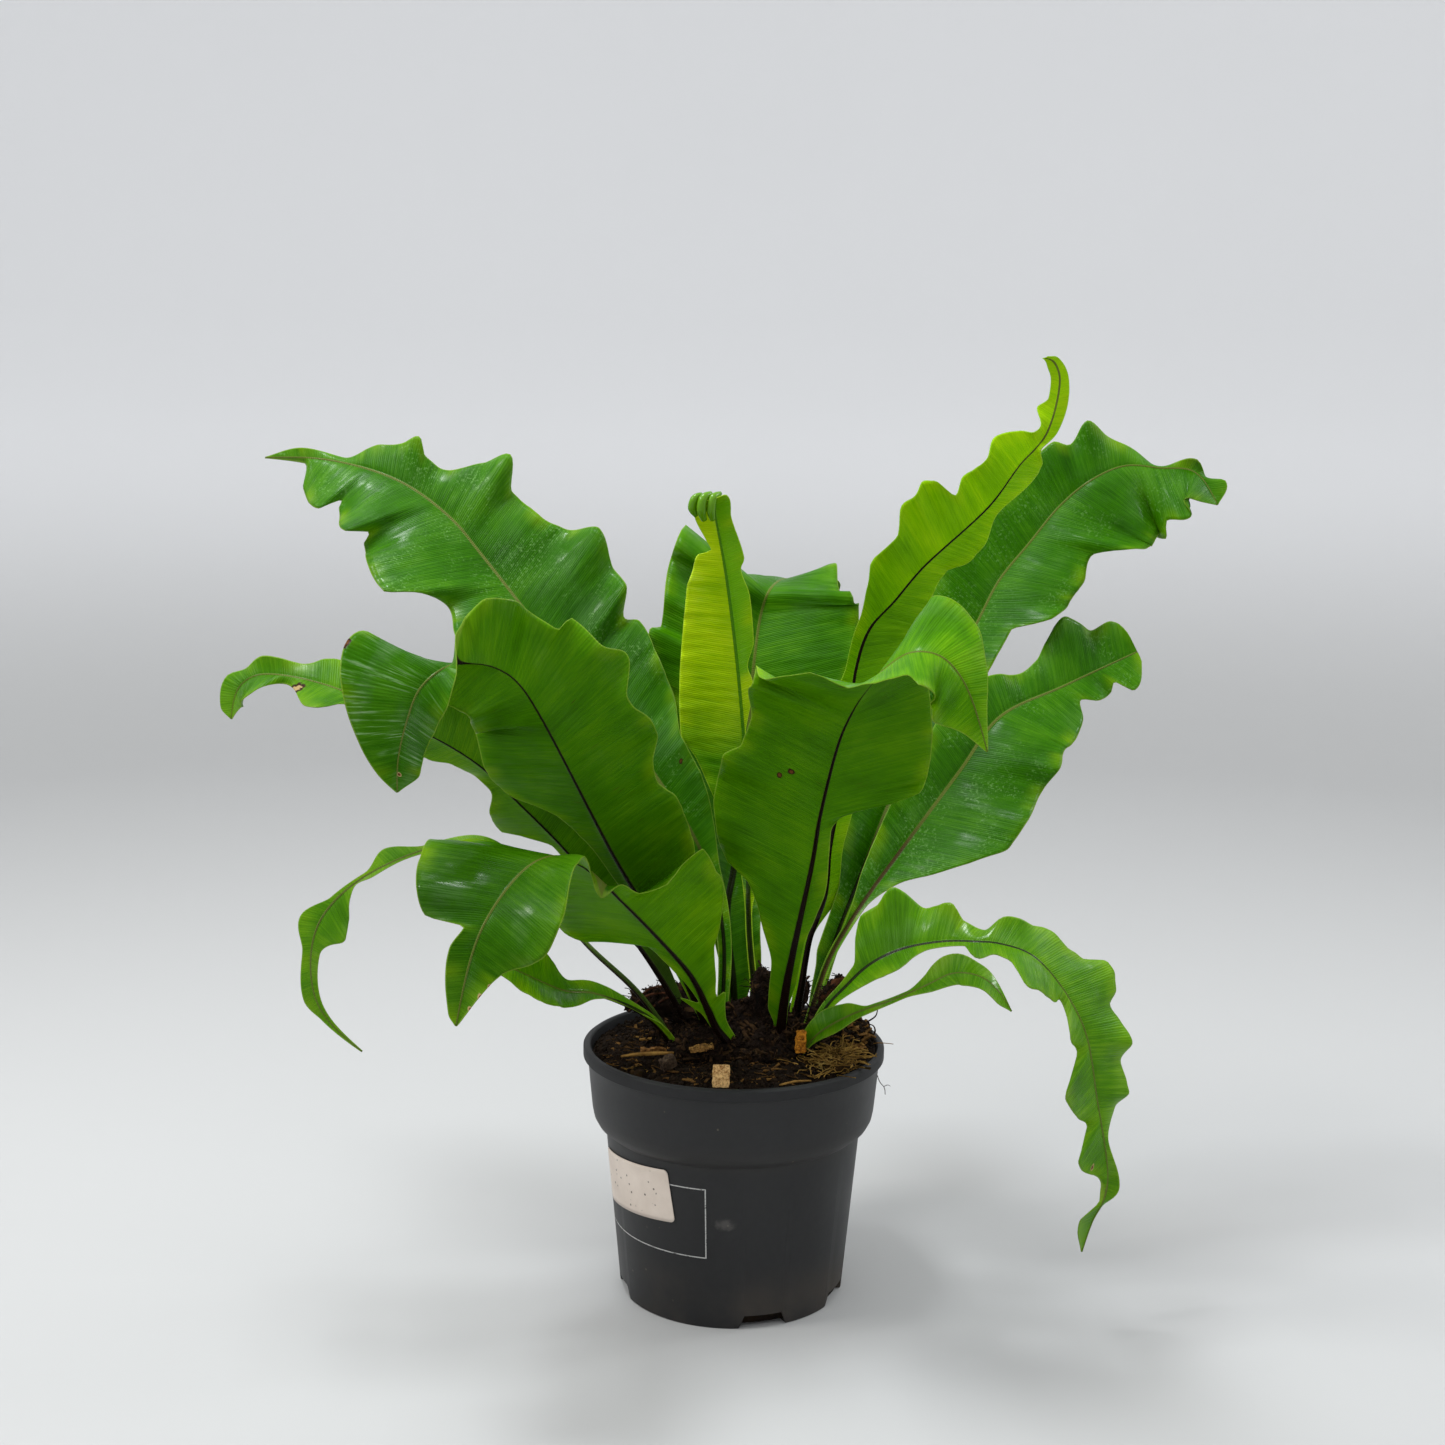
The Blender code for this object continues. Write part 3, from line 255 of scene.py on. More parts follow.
def unit(vectors):
    return vectors / np.linalg.norm(vectors, axis=-1, keepdims=True)


# Curves through listed points, as in the part

ribSamples = 600
ribStep = 0.001  # share of the length over which a rib's direction is taken


def slopesOf(x, y):
    rise = np.diff(y, axis=0) / np.diff(x)[:, None]
    slope = np.zeros_like(y)
    turn = rise[:-1] * rise[1:]
    total = rise[:-1] + rise[1:]
    slope[1:-1] = np.where(turn > 0, 2 * turn / np.where(turn > 0, total, 1), 0)
    slope[0], slope[-1] = rise[0], rise[-1]
    return slope


def hermite(x, y, slope, at):
    at = np.clip(at, x[0], x[-1])
    k = np.clip(np.searchsorted(x, at, side="right") - 1, 0, len(x) - 2)
    step = (x[k + 1] - x[k])[:, None]
    t = ((at - x[k])[:, None]) / step
    start = (2 * t**3 - 3 * t**2 + 1) * y[k] + (t**3 - 2 * t**2 + t) * step * slope[k]
    end = (3 * t**2 - 2 * t**3) * y[k + 1] + (t**3 - t**2) * step * slope[k + 1]
    return start + end


def listed(rows, at):  # values of (share, value, ...) rows at each share
    rows = np.array(rows, float)
    if len(rows) == 1:
        return np.tile(rows[:, 1:], (len(at), 1))
    return hermite(rows[:, 0], rows[:, 1:], slopesOf(rows[:, 0], rows[:, 1:]), at)


def alongRib(points, at):  # points at shares of the length, and the whole length
    p = np.array(points, float)
    x = np.concatenate([[0], np.cumsum(np.sqrt(np.linalg.norm(np.diff(p, axis=0), axis=1)))])
    rise = np.diff(p, axis=0) / np.diff(x)[:, None]
    step = np.diff(x)[:, None]
    slope = np.zeros_like(p)
    slope[1:-1] = (rise[:-1] * step[1:] + rise[1:] * step[:-1]) / (step[:-1] + step[1:])
    slope[0] = 1.5 * rise[0] - 0.5 * slope[1]
    slope[-1] = 1.5 * rise[-1] - 0.5 * slope[-2]
    fine = np.linspace(0, x[-1], ribSamples)
    route = hermite(x, p, slope, fine)
    run = np.concatenate([[0], np.cumsum(np.linalg.norm(np.diff(route, axis=0), axis=1))])
    return hermite(x, p, slope, np.interp(at * run[-1], run, fine)), run[-1]


def ribFrame(frond, at):
    middle, length = alongRib(frond["rib"], at)
    ahead = alongRib(frond["rib"], np.clip(at + ribStep, 0, 1))[0]
    behind = alongRib(frond["rib"], np.clip(at - ribStep, 0, 1))[0]
    forward = unit(ahead - behind)
    heading = np.radians(listed(frond["heading"], at)[:, 0])
    level = np.stack([np.sin(heading), -np.cos(heading), 0 * heading], 1)
    side = unit(level - (forward * level).sum(1)[:, None] * forward)
    upper = np.cross(side, forward)
    roll = np.radians(listed(frond["roll"], at))
    rolled = np.cos(roll) * side + np.sin(roll) * upper
    return middle, length, forward, rolled, np.cos(roll) * upper - np.sin(roll) * side


# Fronds. "rib" is the route of the midrib. "heading" and "roll" turn the blade about it,
# "fold" lifts both halves into a shallow V and "cup" hollows them, each as (share of the
# length, degrees). "left" and "right" list the crests of the waved margins as (share of
# the length, reach from the rib, lift of the wave), without the lift where it is 0.
fronds = {
    "frond_high_left": dict(
        heading=[(0, 90), (0.3, 130), (0.6, 160), (1, 170)],
        roll=[(0, 0), (0.3, 25), (0.6, 50), (1, 60)],
        fold=[(0, 40), (0.3, 22), (0.7, 12), (1, 6)],
        cup=0.04,
        rib=[(-8, 5, 146), (-7, 12, 204), (-19, 22, 245), (-47, 34, 289), (-80, 52, 326),
            (-109, 62, 361), (-152, 80, 412), (-170, 86, 432), (-201, 94, 453), (-244, 102, 465),
            (-283, 104, 466)],
        left=[(0, 3), (0.12, 4), (0.3, 32), (0.42, 46, 4), (0.5, 50, -3), (0.56, 50, 3),
            (0.62, 39, -4), (0.64, 53, 5), (0.65, 68, 4), (0.76, 50, -7), (0.77, 43, -2),
            (0.78, 54, 6), (0.85, 34, -2), (0.86, 27, -2), (0.87, 39, 2), (0.93, 21, -5),
            (0.95, 2, -4), (1, 0.5)],
        right=[(0, 3), (0.18, 6), (0.29, 22), (0.33, 24, 2), (0.37, 38, -3), (0.41, 43, 4),
            (0.46, 49), (0.48, 45, -5), (0.5, 54, 5), (0.53, 58, -4), (0.57, 63, 6),
            (0.61, 51, -4), (0.65, 42), (0.7, 40, -5), (0.72, 50, 7), (0.74, 39, -3),
            (0.78, 22, -5), (0.8, 21, 1), (0.81, 28, 6), (0.83, 22), (0.86, 17, -2), (0.9, 5, -3),
            (0.95, 6, 1), (1, 0.5)],
    ),
    "frond_front_left": dict(
        heading=[(0, -92)],
        roll=[(0, 0), (0.5, 0), (0.62, -22), (0.69, -50), (0.745, -50), (0.8, 0), (0.86, 30),
            (1, 35)],
        fold=[(0, 40), (0.3, 14), (0.6, 4), (1, 0)],
        cup=0.02,
        rib=[(-12, -7, 146), (-35, -30, 203), (-62, -56, 256), (-108, -110, 357),
            (-119, -122, 368), (-131, -136, 372), (-140, -150, 371), (-150, -160, 362),
            (-155, -166, 348), (-159, -168, 330), (-160, -166, 314)],
        left=[(0, 3), (0.1, 5), (0.3, 42), (0.38, 46, -2), (0.42, 40), (0.46, 44, -3),
            (0.48, 50, 3), (0.51, 52), (0.56, 46, -3), (0.59, 55, 4), (0.63, 46, -2),
            (0.66, 44, 1), (0.67, 34, -3), (0.7, 33, 4), (0.72, 35, 1), (0.75, 31, 10),
            (0.77, 12, 18), (0.8, 1, 14), (0.82, 11, 1), (0.85, 17, 3), (0.89, 15, 2),
            (0.94, 14, -2), (0.97, 12), (1, 0.5)],
        right=[(0, 3), (0.35, 9), (0.43, 19), (0.47, 43, 2), (0.51, 44, -2), (0.58, 38, 10),
            (0.595, 35, 22), (0.61, 34), (0.82, 26, 1), (0.83, 38, 2), (0.85, 41), (0.89, 32),
            (1, 0.5)],
    ),
    "frond_mid_left": dict(
        heading=[(0, -90), (0.3, -150), (0.6, -170), (1, -170)],
        roll=[(0, 0), (0.3, -45), (0.6, -60), (0.66, -40), (0.74, 30), (1, 45)],
        fold=[(0, 40), (0.4, 14), (1, 4)],
        cup=0.02,
        rib=[(-24, -2, 148), (-39, -5, 176), (-54, -14, 202), (-90, -32, 256), (-118, -46, 289),
            (-136, -52, 308), (-161, -58, 325), (-184, -62, 336), (-207, -64, 349),
            (-238, -62, 356), (-252, -60, 355), (-261, -58, 348), (-265, -58, 332)],
        left=[(0, 2), (0.05, 4), (0.15, 9), (0.35, 28), (0.5, 38), (0.6, 34, 2), (0.68, 24),
            (0.73, 14), (0.765, 13, 1), (0.78, 29, 2), (0.87, 4, -3), (0.89, 11), (0.905, 20, 1),
            (1, 0.5)],
        right=[(0, 1.5), (0.15, 1.5), (0.22, 8), (0.38, 6), (0.4, 16), (0.415, 30, 2),
            (0.47, 21, -2), (0.52, 7, -3), (0.54, 12, 3), (0.58, 12), (0.61, 19), (0.67, 24),
            (0.8, 20), (0.85, 10), (0.9, 9, 4), (0.93, 9, -2), (0.95, 12), (0.98, 9), (1, 0.5)],
    ),
    "frond_low_left": dict(
        heading=[(0, -95)],
        roll=[(0, 0)],
        fold=[(0, 40), (0.3, 16), (0.7, 4), (1, -4)],
        cup=0.02,
        rib=[(1, -26, 138), (-2, -30, 149), (-10, -34, 161), (-14, -38, 171), (-21, -46, 189),
            (-27, -52, 200), (-68, -100, 257), (-78, -118, 270), (-90, -136, 278),
            (-102, -152, 275), (-120, -176, 251), (-131, -184, 207)],
        left=[(0, 3), (0.06, 5), (0.105, 8, 1), (0.125, 10, 4), (0.14, 7, -1), (0.17, 10),
            (0.22, 18), (0.25, 29), (0.34, 49, 1), (0.405, 50, 7), (0.42, 41, 3), (0.435, 30, -8),
            (0.45, 14, -5), (0.48, 8, -1), (0.51, 1, -10), (0.77, 39, 3), (0.81, 37), (0.89, 17),
            (0.94, 9, 4), (1, 0.5)],
        right=[(0, 3), (0.06, 3), (0.105, 5), (0.122, 17, 1), (0.138, 4), (0.17, 7, 1),
            (0.22, 12, 1), (0.26, 15, 2), (0.275, 24, 3), (0.29, 49, -7), (0.305, 57, -5),
            (0.5, 36), (0.625, 49, 5), (0.64, 65, -1), (0.73, 52, -1), (0.8, 39, 3),
            (0.83, 31, -5), (0.85, 8, 2), (0.88, 11, 3), (0.98, 5), (1, 0.5)],
    ),
    "frond_small_left": dict(
        heading=[(0, 200)],
        roll=[(0, 0), (0.5, 30), (1, 30)],
        fold=[(0, 40), (0.5, 10), (1, 4)],
        cup=0.02,
        rib=[(-33, -17, 144), (-47, -24, 163), (-76, -44, 182), (-91, -56, 187), (-120, -80, 207),
            (-132, -90, 212)],
        left=[(0, 3), (0.12, 4), (0.22, 1, -1), (0.38, 1), (0.43, 4), (0.7, 20, 1), (0.79, 14, -2),
            (0.91, 9), (1, 0.5)],
        right=[(0, 3), (0.19, 3), (0.44, 8), (0.53, 8), (0.65, 16, 4), (0.77, 21, 2), (1, 0.5)],
    ),
    "frond_trailing_left": dict(
        heading=[(0, 185)],
        roll=[(0, 0), (0.3, 0), (0.45, 15), (0.6, 40), (0.8, 75), (1, 75)],
        fold=[(0, 30), (0.5, 8), (1, 4)],
        cup=0,
        rib=[(-33, -7, 142), (-53, -10, 172), (-82, -16, 202), (-117, -30, 249), (-141, -38, 264),
            (-194, -56, 250), (-221, -62, 223), (-223, -60, 181), (-200, -56, 152)],
        left=[(0, 2), (0.5, 5), (0.6, 2), (0.65, 3), (0.68, 1), (0.7, 7), (0.715, 14, -3),
            (0.74, 19, -1), (0.81, 5, -1), (1, 0.5)],
        right=[(0, 2), (0.3, 3), (0.45, 6), (0.56, 3), (0.61, 10), (0.66, 2), (0.72, 3),
            (0.76, 11), (0.81, 5), (0.88, 7), (0.92, 3), (1, 0.5)],
    ),
    "frond_young_centre": dict(
        heading=[(0, 90)],
        roll=[(0, 0), (0.5, -8), (1, 0)],
        fold=[(0, 40), (0.3, 16), (0.6, 10), (1, 10)],
        cup=0.02,
        rib=[(13, 5, 150), (11, 6, 174), (8, 8, 204), (6, 16, 278), (1, 18, 341), (-7, 12, 403),
            (-13, 4, 435), (-15, -4, 445), (-20, -12, 447)],
        left=[(0, 2), (0.2, 2), (0.32, 7), (0.4, 20), (0.47, 30), (0.51, 38), (0.79, 24),
            (0.83, 18.5), (0.859, 14.5), (0.871, 6), (0.89, 8), (0.94, 12), (0.98, 10, -3),
            (1, 3)],
        right=[(0, 2), (0.2, 2), (0.35, 14), (0.52, 1), (0.62, 8), (0.65, 6), (0.69, 11),
            (0.77, 12), (0.825, 9), (0.84, 12), (0.93, 9), (0.97, 10, -3), (1, 3)],
    ),
    "frond_young_right": dict(
        heading=[(0, -80)], roll=[(0, 0)], fold=[(0, 40), (0.3, 16), (0.6, 8), (1, 6)], cup=0.02,
        rib=[(33.5, 2, 149), (38, 4, 175), (40, 6, 188), (42.5, 7.5, 201), (46.5, 9.5, 212),
            (50.5, 11.5, 224), (52, 13, 235), (53, 15, 250), (57.5, 17, 276), (62, 18, 307),
            (66, 16, 354), (73, 12, 377), (86, 8, 393), (100, 4, 411), (135, -4, 446),
            (150, -8, 468), (163, -10, 484), (169, -12, 513), (165, -16, 522), (160, -20, 524)],
        left=[(0, 2), (0.12, 1.5), (0.14, 2.5), (0.155, 5), (0.175, 8), (0.25, 9), (0.42, 18),
            (0.56, 29), (0.6, 21), (0.66, 16, 3), (0.69, 20), (0.72, 18), (0.77, 8), (0.82, 15, 3),
            (0.85, 11), (0.87, 2, -3), (0.89, 6), (0.92, 7), (1, 2)],
        right=[(0, 3), (0.2, 5), (0.42, 14), (0.49, 6), (0.55, 8), (0.58, 18, 1), (0.6, 24, 3),
            (0.65, 25, -3), (0.67, 34, 3), (0.69, 36, -2), (0.705, 37, 3), (0.72, 35, -2),
            (0.74, 19), (0.76, 22, 3), (0.81, 19, -3), (0.83, 20, 3), (0.86, 12, 3),
            (0.875, 8, -3), (0.89, 6, -3), (0.91, 9, 3), (0.93, 5), (0.97, 5), (1, 2)],
    ),
    "frond_high_right": dict(
        heading=[(0, 90), (0.3, 50), (0.6, 20), (1, 0)],
        roll=[(0, 0), (0.3, -25), (0.6, -50), (0.9, -60), (1, -60)],
        fold=[(0, 40), (0.3, 20), (0.7, 10), (1, 4)],
        cup=0.03,
        rib=[(43, 0, 146), (53, 6, 188), (76, 26, 245), (89, 42, 274), (107, 58, 313),
            (125, 72, 346), (142, 82, 375), (155, 89, 399), (173, 94, 421), (191, 98, 443),
            (208, 96, 458), (229, 100, 467), (250, 100, 466), (269, 94, 464), (281, 84, 445)],
        left=[(0, 3), (0.05, 5), (0.08, 6), (0.1, 8), (0.125, 8), (0.175, 9), (0.2, 13),
            (0.24, 19), (0.28, 26), (0.4, 31), (0.55, 34), (0.69, 31), (0.78, 33), (0.795, 27, -4),
            (0.82, 32, 6), (0.84, 21), (0.87, 11, -4), (0.9, 4, -5), (0.94, 5, 5), (0.955, 6, -4),
            (0.97, 11, 3), (1, 0.5)],
        right=[(0, 3), (0.15, 4), (0.3, 14), (0.4, 24), (0.56, 23, 3), (0.58, 44, 1),
            (0.6, 48, -4), (0.66, 45, -1), (0.7, 37, -3), (0.715, 55, 2), (0.73, 62, -5),
            (0.865, 43, -19), (0.88, 48, -8), (0.89, 37, -3), (0.905, 40, 3), (0.95, 25),
            (0.98, 14), (1, 0.5)],
    ),
    "frond_mid_right": dict(
        heading=[(0, 90), (0.3, 50), (0.6, 25), (1, 5)],
        roll=[(0, 0), (0.3, -25), (0.6, -50), (0.9, -60), (1, -60)],
        fold=[(0, 40), (0.3, 20), (0.7, 10), (1, 4)],
        cup=0.03,
        rib=[(39.5, -12, 150), (44, -10, 166), (53, -5, 192), (64, 0, 211), (76, 6, 228),
            (93, 14, 250), (128, 32, 294), (151, 44, 323), (191, 60, 340), (235, 72, 359)],
        left=[(0, 2), (0.2, 2), (0.235, 4), (0.3, 11), (0.37, 17), (0.46, 23), (0.63, 28),
            (0.7, 24), (0.76, 18, -3), (0.79, 21), (0.82, 30, -3), (0.86, 37, 6), (0.9, 30),
            (0.92, 25, -3), (0.95, 24, 3), (0.97, 22, 1), (0.985, 12, 4), (1, 0.5)],
        right=[(0, 2), (0.25, 3), (0.31, 11), (0.35, 28), (0.4, 46), (0.43, 54), (0.49, 53, 3),
            (0.57, 48, -3), (0.6, 51, 3), (0.64, 47), (0.74, 38, 3), (0.81, 25), (0.84, 13),
            (0.86, 19, 2), (0.9, 16, -4), (0.915, 12, 1), (0.93, 22), (0.99, 7), (1, 0.5)],
    ),
    "frond_front_right": dict(
        heading=[(0, -90), (0.55, -85), (0.7, -50), (0.8, -20), (1, -10)],
        roll=[(0, 0), (0.6, 0), (0.75, -20), (1, -60)],
        fold=[(0, 40), (0.3, 14), (0.7, 4), (1, -6)],
        cup=0.02,
        rib=[(25, -15, 139), (28, -26, 180), (40, -56, 260), (43, -66, 286), (51, -86, 329),
            (56, -98, 345), (61, -112, 357), (70, -124, 370), (82, -132, 379), (95, -136, 378),
            (106, -138, 367), (119, -138, 332)],
        left=[(0, 3), (0.08, 3), (0.13, 6), (0.2, 6), (0.25, 9), (0.3, 11.5), (0.37, 9),
            (0.415, 8), (0.425, 17, 8), (0.44, 38, -3), (0.455, 53, -6), (0.47, 56), (0.63, 45, 1),
            (0.7, 35, 1), (0.73, 48), (0.81, 43), (0.87, 22), (0.94, 7), (1, 0.5)],
        right=[(0, 3), (0.05, 4), (0.07, 8), (0.15, 10), (0.2, 18), (0.27, 32), (0.285, 45, 1),
            (0.34, 55, -3), (0.39, 58), (0.43, 57, 3), (0.47, 58, -2), (0.5, 49, 2), (0.55, 48),
            (0.62, 57, 2), (0.635, 51, 18), (0.7, 53, 16), (0.715, 38, 16), (0.73, 29, 2),
            (0.79, 25), (0.81, 36, 3), (0.86, 24, -5), (0.88, 29), (0.96, 9), (1, 0.5)],
    ),
    "frond_drooping_right": dict(
        heading=[(0, 15)],
        roll=[(0, -20), (0.2, -35), (0.4, -30), (0.5, -40), (0.65, -68), (1, -75)],
        fold=[(0, 40), (0.3, 14), (0.7, 6), (1, 4)],
        cup=0.02,
        rib=[(40, -22, 141), (50, -24, 168), (61, -23, 181), (74, -26, 195), (90, -31, 205),
            (111, -40, 212), (127, -50, 215), (141, -54, 215), (159, -58, 209), (184, -62, 176),
            (195, -60, 131), (203, -56, 79), (196, -55, 60), (191, -55, 43)],
        left=[(0, 3), (0.11, 3), (0.165, 5), (0.2, 25), (0.22, 26, 2), (0.24, 32, 4),
            (0.275, 22, -3), (0.32, 20, 4), (0.34, 13, -2), (0.38, 10, -3), (0.41, 16, 4),
            (0.44, 19), (0.46, 25, -2), (0.51, 28), (0.53, 38, 4), (0.57, 34), (0.59, 27, -4),
            (0.64, 26, 4), (0.67, 23, -3), (0.72, 20, 3), (0.75, 14, -3), (0.81, 3), (0.88, 6, 3),
            (0.92, 3, -2), (1, 0.5)],
        right=[(0, 3), (0.1, 6), (0.22, 15), (0.3, 5), (0.36, 4), (0.38, 19, 3), (0.4, 12),
            (0.425, 15), (0.44, 37, 1), (0.52, 20), (0.55, 5, -3), (0.59, 17, 1), (0.64, 7, -4),
            (0.66, 29, 2), (0.73, 17, -1), (0.765, 8, -4), (0.78, 26, 3), (0.89, 1, -4),
            (0.91, 1, -2), (0.93, 14, 3), (1, 0.5)],
    ),
    "frond_small_right": dict(
        heading=[(0, 5)],
        roll=[(0, -20), (0.5, -40), (1, -30)],
        fold=[(0, 40), (0.4, 10), (1, 0)],
        cup=0.02,
        rib=[(36, -27, 139), (44, -35, 156), (60, -49, 172), (84, -71, 189), (99, -80, 199),
            (114, -80, 206), (129, -88, 205), (142, -94, 190)],
        left=[(0, 3), (0.1, 6), (0.2, 9), (0.3, 7), (0.4, 2, -1), (0.57, 2, -1), (0.75, 10, 3),
            (0.81, 8), (1, 0.5)],
        right=[(0, 3), (0.1, 5), (0.22, 8), (0.36, 4), (0.56, 2), (0.76, 9), (0.92, 9), (1, 0.5)],
    ),
    "frond_back": dict(
        heading=[(0, 90)],
        roll=[(0, 0), (0.5, -5), (1, -5)],
        fold=[(0, 40), (0.3, 18), (0.7, 8), (1, 4)],
        cup=0.03,
        rib=[(1, 14, 147), (-1, 19, 176), (-4.5, 26, 201), (-4, 32, 216), (-1, 40, 232),
            (3, 54, 271), (7, 69, 310), (10, 80, 351), (14, 91, 378), (18, 92, 390),
            (32, 134, 395), (43, 152, 384), (54, 160, 366)],
        left=[(0, 3), (0.1, 7), (0.17, 10), (0.25, 24), (0.4, 42), (0.5, 50), (0.54, 68),
            (0.585, 67, 4), (0.6, 60, -4), (0.64, 61, 4), (0.8, 66, -26), (0.82, 36, -12),
            (0.9, 26, -6), (1, 0.5)],
        right=[(0, 3), (0.05, 9), (0.08, 17), (0.14, 20), (0.3, 30), (0.45, 46), (0.52, 61),
            (0.61, 62), (0.69, 58, 5), (0.735, 50, 4), (0.75, 42, -4), (0.82, 31, 10),
            (0.84, 23, 7), (0.9, 26), (1, 0.5)],
    ),
}

blade = {
    "sweep": 18,  # how far the veins lean forward
    "rowStep": 1.6,  # along the rib
    "columns": 19,  # on each side of the rib
    # columns beside the rib, as (rib half widths, most share of the blade's reach)
    "ribColumns": [(0.3, 0.12), (0.6, 0.25), (0.85, 0.4), (1.1, 0.54), (1.7, 0.66)],
    "ribMost": 0.45,  # further limit on those shares
    "restMost": 0.3,  # most share at which the other columns start
    "thick": (0.38, 0.75),  # at the margin and in the middle
    "thinFrom": 14,  # distance from the margin
    "fullRib": 2.0,  # half width of a rib that has its full depth
    "ribDeep": (3.2, 0.5),  # below the blade, at the base and where it fades
    "ribFade": 0.75,
    "ribProud": 0.35,  # above the upper side
    "crease": (0.3, 1.3, 0.55),  # groove beside the rib: depth, place and width in half widths
    "waved": (6, 12),  # reach at which the waves begin, and over which they grow to the full
    "calmTip": 0.05,  # share of the length
    "ripple": (0.55, 15),  # at the margin: height and length of the waves
    "quilt": (0.16, 6, 37),  # on the blade: height, length and length of its change
}
waveShares = (1, 0.62, 0.41)
wholeTurn = 6.3  # radians, the range of a wave's start


def blockWave(along, seed, length):  # slow uneven wave, the same each run
    rng = random.Random(seed)
    total = 0
    for share in waveShares:
        start = rng.uniform(0, wholeTurn)
        total = total + share * np.sin(2 * math.pi * along / (length * share) + start)
    return total / 2


def columnShares(reach, half):  # shares of the reach at which the blade's columns stand
    count, near = blade["columns"], blade["ribColumns"]
    first = np.minimum(near[-1][0] * half / reach, blade["restMost"])
    columns = [np.minimum(out * half / reach, most * blade["ribMost"]) for out, most in near]
    for j in range(1, count - len(near) + 1):
        columns.append(first + (1 - first) * j / (count - len(near)))
    return np.clip(np.stack(columns, 1), 0, 1)


def halfBlade(frond, at, length, which, seed, half, ribbed):
    reach, wave = listed([(*row, 0)[:3] for row in frond[which]], at).T
    fold = np.tan(np.radians(listed(frond["fold"], at)[:, 0]))
    k = columnShares(reach, half)
    along = (at * length)[:, None]
    out = reach[:, None] * k
    hollow = frond["cup"] * reach[:, None] * 4 * k * (1 - k)
    lift = fold[:, None] * out + hollow + wave[:, None] * k**1.7
    least, growth = blade["waved"]
    strength = np.clip((reach - least) / growth, 0, 1)[:, None]
    strength = strength * np.clip((1 - at) / blade["calmTip"], 0, 1)[:, None]
    high, long = blade["ripple"]
    ripple = blockWave(along + 0.25 * out, seed, long) * high * k**2.2
    high, long, change = blade["quilt"]
    quilt = blockWave(along + 0.1 * out, seed + 9, long) * high * (4 * k * (1 - k)) ** 0.5
    quilt = quilt * (1 + 0.8 * blockWave(along, seed + 5, change))
    deep, place, wide = blade["crease"]
    beside = (out / half[:, None] - place) / wide
    groove = -deep * np.exp(-beside**2) * np.clip((reach[:, None] - 5) / 8, 0, 1)
    return out, k, reach, lift + (ripple + quilt * ribbed) * strength + groove


def bladeShell(frond, seed, ribHalf, ribbed):
    length = alongRib(frond["rib"], np.array([0.0, 1.0]))[1]
    at = np.linspace(0, 1, math.ceil(length / blade["rowStep"]))
    middle, length, forward, side, upper = ribFrame(frond, at)
    sweep = math.radians(blade["sweep"])
    half = listed(ribHalf, at)[:, 0]
    points, across, edge = [], [], []
    for which, sign in (("left", -1), ("right", 1)):
        out, k, reach, lift = halfBlade(frond, at, length, which,
                                        seed + (sign > 0) * 100, half, ribbed)
        away = sign * math.cos(sweep) * side + math.sin(sweep) * forward
        place = middle[:, None] + out[:, :, None] * away[:, None]
        place = place + lift[:, :, None] * upper[:, None]
        order = slice(None, None, -1) if sign < 0 else slice(None)
        points.append(place[:, order])
        across.append((sign * out)[:, order])
        edge.append((reach[:, None] * (1 - k))[:, order])
    centre = (middle + blade["ribProud"] * upper)[:, None]
    wide = np.minimum(edge[0][:, -1:], edge[1][:, :1]) + 1
    top = np.concatenate([points[0], centre, points[1]], 1)
    across = np.concatenate([across[0], np.zeros((len(at), 1)), across[1]], 1)
    edge = np.concatenate([edge[0], wide, edge[1]], 1)
    normal = unit(np.cross(np.gradient(top, axis=1), np.gradient(top, axis=0)))
    normal = normal * np.sign((normal * upper[:, None]).sum(2))[:, :, None]
    margin, inner = blade["thick"]
    depth = margin + (inner - margin) * np.clip(edge / blade["thinFrom"], 0, 1)
    deep, shallow = blade["ribDeep"]
    fade = np.minimum(at / blade["ribFade"], 1) ** 0.8
    keel = deep + (shallow - deep) * fade
    keel = keel * np.minimum(half / blade["fullRib"], 1)
    half = np.minimum(half, 0.9 * edge.max(1))
    fromRib = np.abs(across) / half[:, None]
    profile = np.clip(1 - fromRib**2, 0, 1) ** 0.6
    depth = depth + keel[:, None] * profile + (across == 0) * blade["ribProud"]
    low = top - normal * depth[:, :, None]
    return at, length, top, low, across, edge, fromRib


def shellFaces(count, width):
    below = count * width
    faces = []
    for i in range(count - 1):
        for j in range(width - 1):
            a = i * width + j
            faces.append((a, a + 1, a + 1 + width, a + width))
            faces.append((below + a, below + a + width, below + a + 1 + width, below + a + 1))
        a, b = i * width, (i + 1) * width
        faces.append((a, b, below + b, below + a))
        faces.append((b - 1, below + b - 1, below + b + width - 1, b + width - 1))
    last = (count - 1) * width
    for j in range(width - 1):
        faces.append((j + 1, j, below + j, below + j + 1))
        faces.append((last + j, last + j + 1, below + last + j + 1, below + last + j))
    return faces


def makeFrond(node, frond, finish, slot, seed, given):
    at, length, top, low, across, edge, fromRib = bladeShell(
        frond, seed, given["rib"], given["ribbed"])
    count, width = across.shape
    points = np.concatenate([top.reshape(-1, 3), low.reshape(-1, 3)])
    piece = newMesh(node + "_blade", points, shellFaces(count, width), finish)
    addLayer(piece, "alongRib", np.tile(np.repeat(at * length, width), 2))
    addLayer(piece, "acrossRib", np.tile(across.ravel(), 2))
    addLayer(piece, "fromMargin", np.tile(edge.ravel(), 2))
    addLayer(piece, "fromRib", np.tile(fromRib.ravel(), 2))
    addLayer(piece, "underside", np.repeat([0.0, 1.0], count * width))
    addLayer(piece, "ribShare", np.tile(np.repeat(at, width), 2))
    dress(piece, slot, node)


